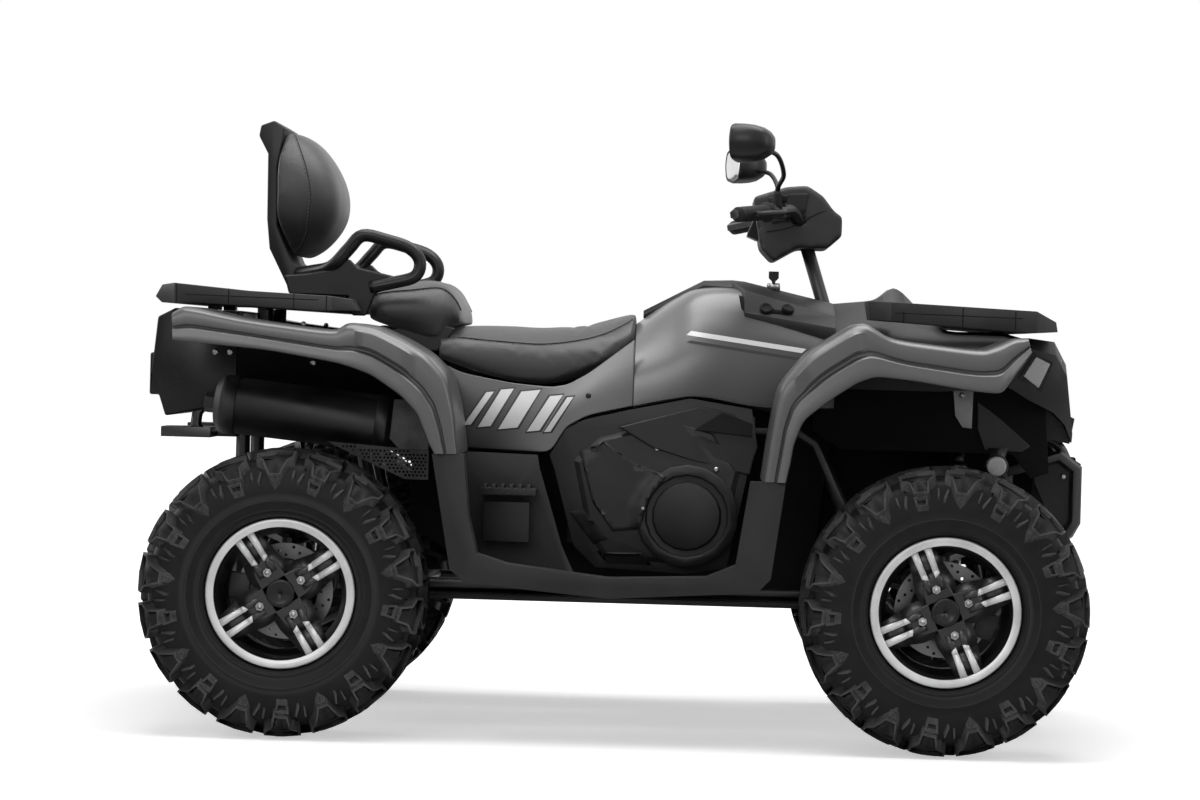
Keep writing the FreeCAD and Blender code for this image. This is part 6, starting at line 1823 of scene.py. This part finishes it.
grooves = []
for sign in SIDES:
    for x, half, z in ((0.43, 0.72, 0.93), (0.52, 0.72, 0.945), (0.6, 0.72, 0.94), (-0.68, 0.74, 0.96),
                       (-0.6, 0.74, 0.95),
                       (-0.5, 0.74, 0.94), (-0.45, 0.74, 0.935)):
        points = [spot(x, sign * half, z + rise) for rise in (0.03, 0, -0.03)]
        grooves.append(groove("rack_groove", points, 1.6))
    for x_low, x_high, z in ((0.385, 0.64, 0.955), (-0.7, -0.43, 0.955)):
        half = 0.72 if x_low > 0 else 0.74
        points = [spot(x_low, sign * half, z), spot(x_high, sign * half, z - 0.01)]
        grooves.append(groove("rack_long_groove", points, 1.3))
merged("rack_grooves", grooves)
print("grooves:", len(grooves))


# %% [markdown]
# ## The nose
# Seen from the side the nose has a pale corner lens, a bracket and a sunk field inside the arch, and a
# stub of tube that carries the bumper plate. All of them stand above the tyre's sweep, so the wheels
# can steer under them.

# %% Build the nose fittings
plate_on("corner_lens_bezel", [(0.614, 0.752), (0.638, 0.836), (0.669, 0.808), (0.651, 0.705)], nose_surface,
         3, 9, smooth_plastic, "black_plastic", 2)
plate_on("corner_lens", [(0.622, 0.759), (0.641, 0.823), (0.663, 0.801), (0.646, 0.721)], nose_surface,
         6, 6, marker_lens, "lens", 1.5)
side_plate("arch_bracket", [(0.516, 0.706), (0.548, 0.708), (0.547, 0.579), (0.532, 0.582), (0.52, 0.621)],
           0.4495,
           0.003, disc_steel, "steel")
side_plate("arch_field", [(0.554, 0.672), (0.592, 0.612), (0.638, 0.528), (0.625, 0.508), (0.568, 0.511),
                          (0.556, 0.577)], 0.4495, 0.004, panel_plastic, width_mm=2)
for sign in SIDES:
    sweep("bumper_stub", [spot(0.655, sign * 0.2, 0.56), spot(0.69, sign * 0.2, 0.53),
                          spot(0.706, sign * 0.2, 0.47),
                                 spot(0.708, sign * 0.2, 0.42)], 0.0125, frame_black, steps=5)
plate_bolts = []
for sign in SIDES:
    plate_bolts += bolt(spot(0.699, sign * (skirt_y - 0.001), 0.425), (0, sign, 0), 10)
    plate_bolts += bolt(spot(0.53, sign * 0.458, 0.69), (0, sign, 0), 8)
attach(merged("nose_bolts", plate_bolts), "chassis", "steel")

# %% [markdown]
# ## The hand grips
# A grip is a rubber sleeve with a flange at its inner end and rings along it, which keep a wet glove
# from slipping. It is turned about the bar, so the same rings of points serve both sides.

# %% Build the grips
def build_grips():
    solid = frame["nodes"]["grips"]
    inner_y = min(abs((solid.matrix_world @ v.co).y) for v in solid.data.vertices)
    parts = []
    for sign in SIDES:
        elbow, tip = spot(STEM_X - 0.025, sign * 0.27, 1.295), spot(STEM_X - 0.119, sign * 0.7, 1.259)
        line, side, other = axes_of(tip - elbow)
        start = elbow + (tip - elbow) * ((inner_y - abs(elbow.y)) / (abs(tip.y) - abs(elbow.y)))
        length = (tip - start).length
        profile = [(0.0, 0.0125), (0.0, 0.0225), (0.003, 0.0235), (0.006, 0.0215), (0.008, 0.0165)]
        place = 0.014
        while place < length - 0.012:
            profile += [(place, 0.0165), (place + 0.0015, 0.0178), (place + 0.005, 0.0178),
                        (place + 0.0065, 0.0165)]
            place += 0.0095
        profile += [(length - 0.006, 0.0168), (length, 0.0178), (length + 0.003, 0.016),
                    (length + 0.0045, 0.001)]
        rings = [ring(start + line * out, side, other, r, 28) for out, r in profile]
        parts.append(plain_object("grip", skin_mesh("grip", rings)))
    item = merged("grip_sleeves", parts)
    item.data.materials.append(grip_rubber)
    attach(item, BODY_OF["grips"], SLOT_OF["grips"], "grips")
    return len(item.data.polygons)


print("grip faces:", build_grips())

# %% [markdown]
# ## Seats and backrest
# A seat is foam under a sewn cover. It is fullest between its seams and pinched along them, and no
# drawn curve looks like that. So each cushion is blown up as cloth: its skin is remeshed, its underside
# and its seam lines are held, and air pressure fills the rest. The movement is capped, then the piping
# and the stitches are sewn onto the result.

# %% Blow up a cushion
def cushion_body(name, rings, voxel_mm, shrink_mm):
    """An even mesh through the rings, slightly smaller than the finished cushion."""
    item = plain_object(name, skin_mesh(name, rings))
    grid = item.modifiers.new("even", "REMESH")
    grid.mode, grid.voxel_size = "VOXEL", voxel_mm / 1000
    bpy.context.view_layer.update()
    bake_modifiers(item)
    shape = bmesh.new()
    shape.from_mesh(item.data)
    for _ in range(4):
        bmesh.ops.smooth_vert(shape, verts=shape.verts, factor=0.5, use_axis_x=True, use_axis_y=True,
                              use_axis_z=True)
    shape.normal_update()
    for vertex in shape.verts:
        vertex.co -= vertex.normal * (shrink_mm / 1000)
    shape.to_mesh(item.data)
    shape.free()
    return item


def blow_up(item, held, puff_mm, pressure=4.0):
    """Fills a cushion with air. Held is a function of a point and its normal, from 0, free, to 1, held."""
    rest = [vertex.co.copy() for vertex in item.data.vertices]
    group = item.vertex_groups.new(name="held")
    for vertex in item.data.vertices:
        weight = held(vertex.co, vertex.normal)
        if weight > 0:
            group.add([vertex.index], weight, "REPLACE")
    cloth = item.modifiers.new("air", "CLOTH")
    settings = cloth.settings
    settings.quality = 4
    settings.mass = 0.25
    settings.tension_stiffness = settings.compression_stiffness = 12
    settings.bending_stiffness = 0.6
    settings.use_pressure = True
    settings.uniform_pressure_force = pressure
    settings.effector_weights.gravity = 0
    settings.vertex_group_mass = "held"
    for number in range(1, 21):
        scene.frame_set(number)
    bake_modifiers(item)
    scene.frame_set(1)
    cap = puff_mm / 1000
    for vertex, start in zip(item.data.vertices, rest):
        move = vertex.co - start
        if move.length > cap:
            vertex.co = start + move * (cap / move.length)
    item.modifiers.clear()
    shape = bmesh.new()
    shape.from_mesh(item.data)
    bmesh.ops.smooth_vert(shape, verts=shape.verts, factor=0.4, use_axis_x=True, use_axis_y=True,
                          use_axis_z=True)
    shape.to_mesh(item.data)
    shape.free()
    item.data.materials.clear()
    item.data.materials.append(seat_vinyl)
    shade_smooth(item.data)
    finer = item.modifiers.new("finer", "SUBSURF")
    finer.levels = finer.render_levels = 1
    moves = [(vertex.co - start).length for vertex, start in zip(item.data.vertices, rest)]
    print(item.name, "points:", len(moves), "largest move %.1f mm" % (max(moves) * 1000))
    return item


def near_line(points, reach):
    """A weight that is 1 on a line of points and falls to 0 at the reach. Used to hold seams."""
    tree = [Vector(p) for p in points]

    def weight(co):
        best = min((co - p).length_squared for p in tree) ** 0.5
        return max(0.0, 1 - best / reach)
    return weight


# %% Sew piping and stitches
def seam_points(surface, guide, steps, lift=0.0):
    """A guide line laid onto a surface at its nearest points."""
    points = []
    for place in curve_through(guide, steps):
        hit, normal = surface.find_nearest(place)[:2]
        points.append(hit + normal * lift)
    return points


def even_line(points, pitch):
    """Places at an even pitch along a line, with the direction at each."""
    result = []
    travelled = 0.0
    wanted = pitch / 2
    for a, b in zip(points, points[1:]):
        length = (b - a).length
        while wanted <= travelled + length and length > 0:
            result.append((a + (b - a) * ((wanted - travelled) / length), (b - a).normalized()))
            wanted += pitch
        travelled += length
    return result


PIPING_MM, STITCH_PITCH_MM = 2.4, 9.0


def sew(name, surface, guide, side_mm):
    """A rolled piping along a seam, and a row of stitches beside it."""
    points = seam_points(surface, guide, 8, 0.0006)
    piping = sweep(name + "_piping", points[::3] + [points[-1]], PIPING_MM / 1000, piping_vinyl, facets=8,
                   steps=4,
                   slot="seat_cover")
    verts, faces = [], []
    for place, ahead in even_line(points, STITCH_PITCH_MM / 1000):
        hit, normal = surface.find_nearest(place)[:2]
        aside = ahead.cross(normal).normalized()
        middle, normal = surface.find_nearest(hit + aside * side_mm / 1000)[:2]
        ahead = (ahead - normal * ahead.dot(normal)).normalized()
        aside = ahead.cross(normal)
        start = len(verts)
        half, thick = 0.0029, 0.00085
        for along, swell in ((-half, 0.35), (-half * 0.6, 1), (half * 0.6, 1), (half, 0.35)):
            for angle in turns(5):
                reach = thick * swell
                offset = aside * math.cos(angle) * reach + normal * (math.sin(angle) * reach + 0.0004)
                verts.append(tuple(middle + ahead * along + offset))
        for ring in range(3):
            for turn in range(5):
                a = start + ring * 5 + turn
                b = start + ring * 5 + (turn + 1) % 5
                faces.append((a, b, b + 5, a + 5))
        faces.append(tuple(start + i for i in (4, 3, 2, 1, 0)))
        faces.append(tuple(start + 15 + i for i in range(5)))
    mesh = bpy.data.meshes.new(name + "_stitches")
    mesh.from_pydata(verts, [], faces)
    return piping, new_piece(name + "_stitches", mesh, [thread], "chassis", (), "seat_cover")


# %% Cushion outlines
DRIVER_CUTS = [
    (-0.29, [(0.2, 0.87), (0.34, 0.855), (0.4, 0.82), (0.4, 0.77), (0.36, 0.76)]),
    (-0.2, [(0.2, 0.86), (0.35, 0.84), (0.4, 0.8), (0.4, 0.72), (0.36, 0.7)]),
    (-0.12, [(0.18, 0.855), (0.33, 0.835), (0.39, 0.78), (0.385, 0.7), (0.35, 0.68)]),
    (-0.046, [(0.15, 0.88), (0.28, 0.86), (0.36, 0.8), (0.36, 0.75), (0.33, 0.72)]),
    (0.0, [(0.12, 0.925), (0.22, 0.905), (0.31, 0.855), (0.32, 0.8), (0.3, 0.76)]),
    (0.0198, [(0.1, 0.945), (0.19, 0.93), (0.26, 0.88), (0.28, 0.84), (0.26, 0.79)])]
PASSENGER_CUTS = [
    (-0.402, [(0.2, 0.965), (0.32, 0.955), (0.36, 0.93), (0.36, 0.9), (0.34, 0.89)]),
    (-0.385, [(0.2, 1.0), (0.34, 0.985), (0.39, 0.94), (0.39, 0.9), (0.37, 0.875)]),
    (-0.33, [(0.2, 1.02), (0.34, 1.0), (0.4, 0.95), (0.4, 0.89), (0.37, 0.84)]),
    (-0.2905, [(0.2, 1.03), (0.33, 1.01), (0.39, 0.95), (0.4, 0.9), (0.38, 0.83)]),
    (-0.27, [(0.2, 1.005), (0.32, 0.985), (0.37, 0.94), (0.37, 0.905), (0.34, 0.8705)]),
    (-0.256, [(0.18, 0.955), (0.3, 0.945), (0.345, 0.915), (0.345, 0.89), (0.32, 0.8745)]),
    (-0.25, [(0.14, 0.912), (0.23, 0.908), (0.28, 0.896), (0.28, 0.888), (0.26, 0.881)])]
PAD_LEVELS = [
    (1.09, -0.5285, -0.51, 0.16), (1.14, -0.5385, -0.48, 0.25), (1.22, -0.5525, -0.455, 0.31),
    (1.31, -0.5535, -0.452, 0.33), (1.4, -0.5545, -0.468, 0.31), (1.48, -0.549, -0.496, 0.25),
              (1.52, -0.545, -0.522, 0.17)]


def seat_rings(cuts):
    rows = [[x] + [value for point in points for value in point] for x, points in cuts]
    rings = []
    for row in smooth_run(rows, 4):
        points = [(row[i], row[i + 1]) for i in range(1, len(row), 2)]
        outline = [(p.x, p.y) for p in curve_through([(y, z, 0) for y, z in points], 3)]
        rings.append([spot(row[0], y, z) for y, z in outline] + [spot(row[0], -y, z) for y,
                                                                 z in reversed(outline)])
    return rings


def pad_rings():
    rings = []
    for z, back, front, half in smooth_run(PAD_LEVELS, 4):
        ahead = front - back
        corners = [(back, -half), (back + ahead * 0.45, -half), (back + ahead * 0.88, -half * 0.8),
                   (front, -half * 0.4),
                   (front, half * 0.4), (back + ahead * 0.88, half * 0.8), (back + ahead * 0.45, half),
                   (back, half)]
        outline = curve_through([(x, y, 0) for x, y in corners], 4)
        rings.append([spot(p.x, p.y, z) for p in outline])
    return rings


# %% Make the three cushions
def seam_guides(kind):
    """Guide lines of the seams, one on each side of the cushion."""
    guides = []
    for sign in SIDES:
        if kind == "driver":
            rows = [(-0.284, 0.355, 0.853), (-0.2, 0.36, 0.838), (-0.12, 0.34, 0.832), (-0.046, 0.285, 0.86),
                    (0.0, 0.225, 0.905), (0.012, 0.195, 0.925)]
        elif kind == "passenger":
            rows = [(-0.398, 0.32, 0.958), (-0.385, 0.345, 0.983), (-0.33, 0.345, 0.998),
                    (-0.29, 0.335, 1.008),
                    (-0.268, 0.325, 0.988), (-0.252, 0.31, 0.93)]
        else:
            rows = [(-0.528, 0.17, 1.1), (-0.505, 0.262, 1.15), (-0.497, 0.315, 1.22), (-0.494, 0.333, 1.31),
                    (-0.503, 0.315, 1.4), (-0.519, 0.255, 1.475), (-0.532, 0.17, 1.512)]
        guides.append([spot(x, sign * y, z) for x, y, z in rows])
    return guides


def make_cushion(node, kind, rings, voxel_mm, puff_mm, pressure):
    item = cushion_body(node + "_cushion", rings, voxel_mm, puff_mm * 0.25)
    guides = seam_guides(kind)
    lines = [near_line(curve_through(guide, 10), 0.012) for guide in guides]

    def held(co, normal):
        # The back of the pad and the underside of a seat stand still
        under = normal.x < -0.5 if kind == "pad" else normal.z < -0.25
        return 1.0 if under else max(line(co) for line in lines)

    blow_up(item, held, puff_mm, pressure)
    attach(item, "chassis", SLOT_OF[node], node)
    surface = surface_tree([item])
    sewn = [sew(node, surface, guide, 5 if kind != "pad" else -5) for guide in guides]
    merged(node + "_pipings", [pair[0] for pair in sewn])
    merged(node + "_stitch_rows", [pair[1] for pair in sewn])
    return item


make_cushion("driver_seat", "driver", seat_rings(DRIVER_CUTS), 7, 22, 7)
make_cushion("passenger_seat", "passenger", seat_rings(PASSENGER_CUTS), 6.5, 16, 8)
make_cushion("backrest_pad", "pad", pad_rings(), 6.5, 16, 16)
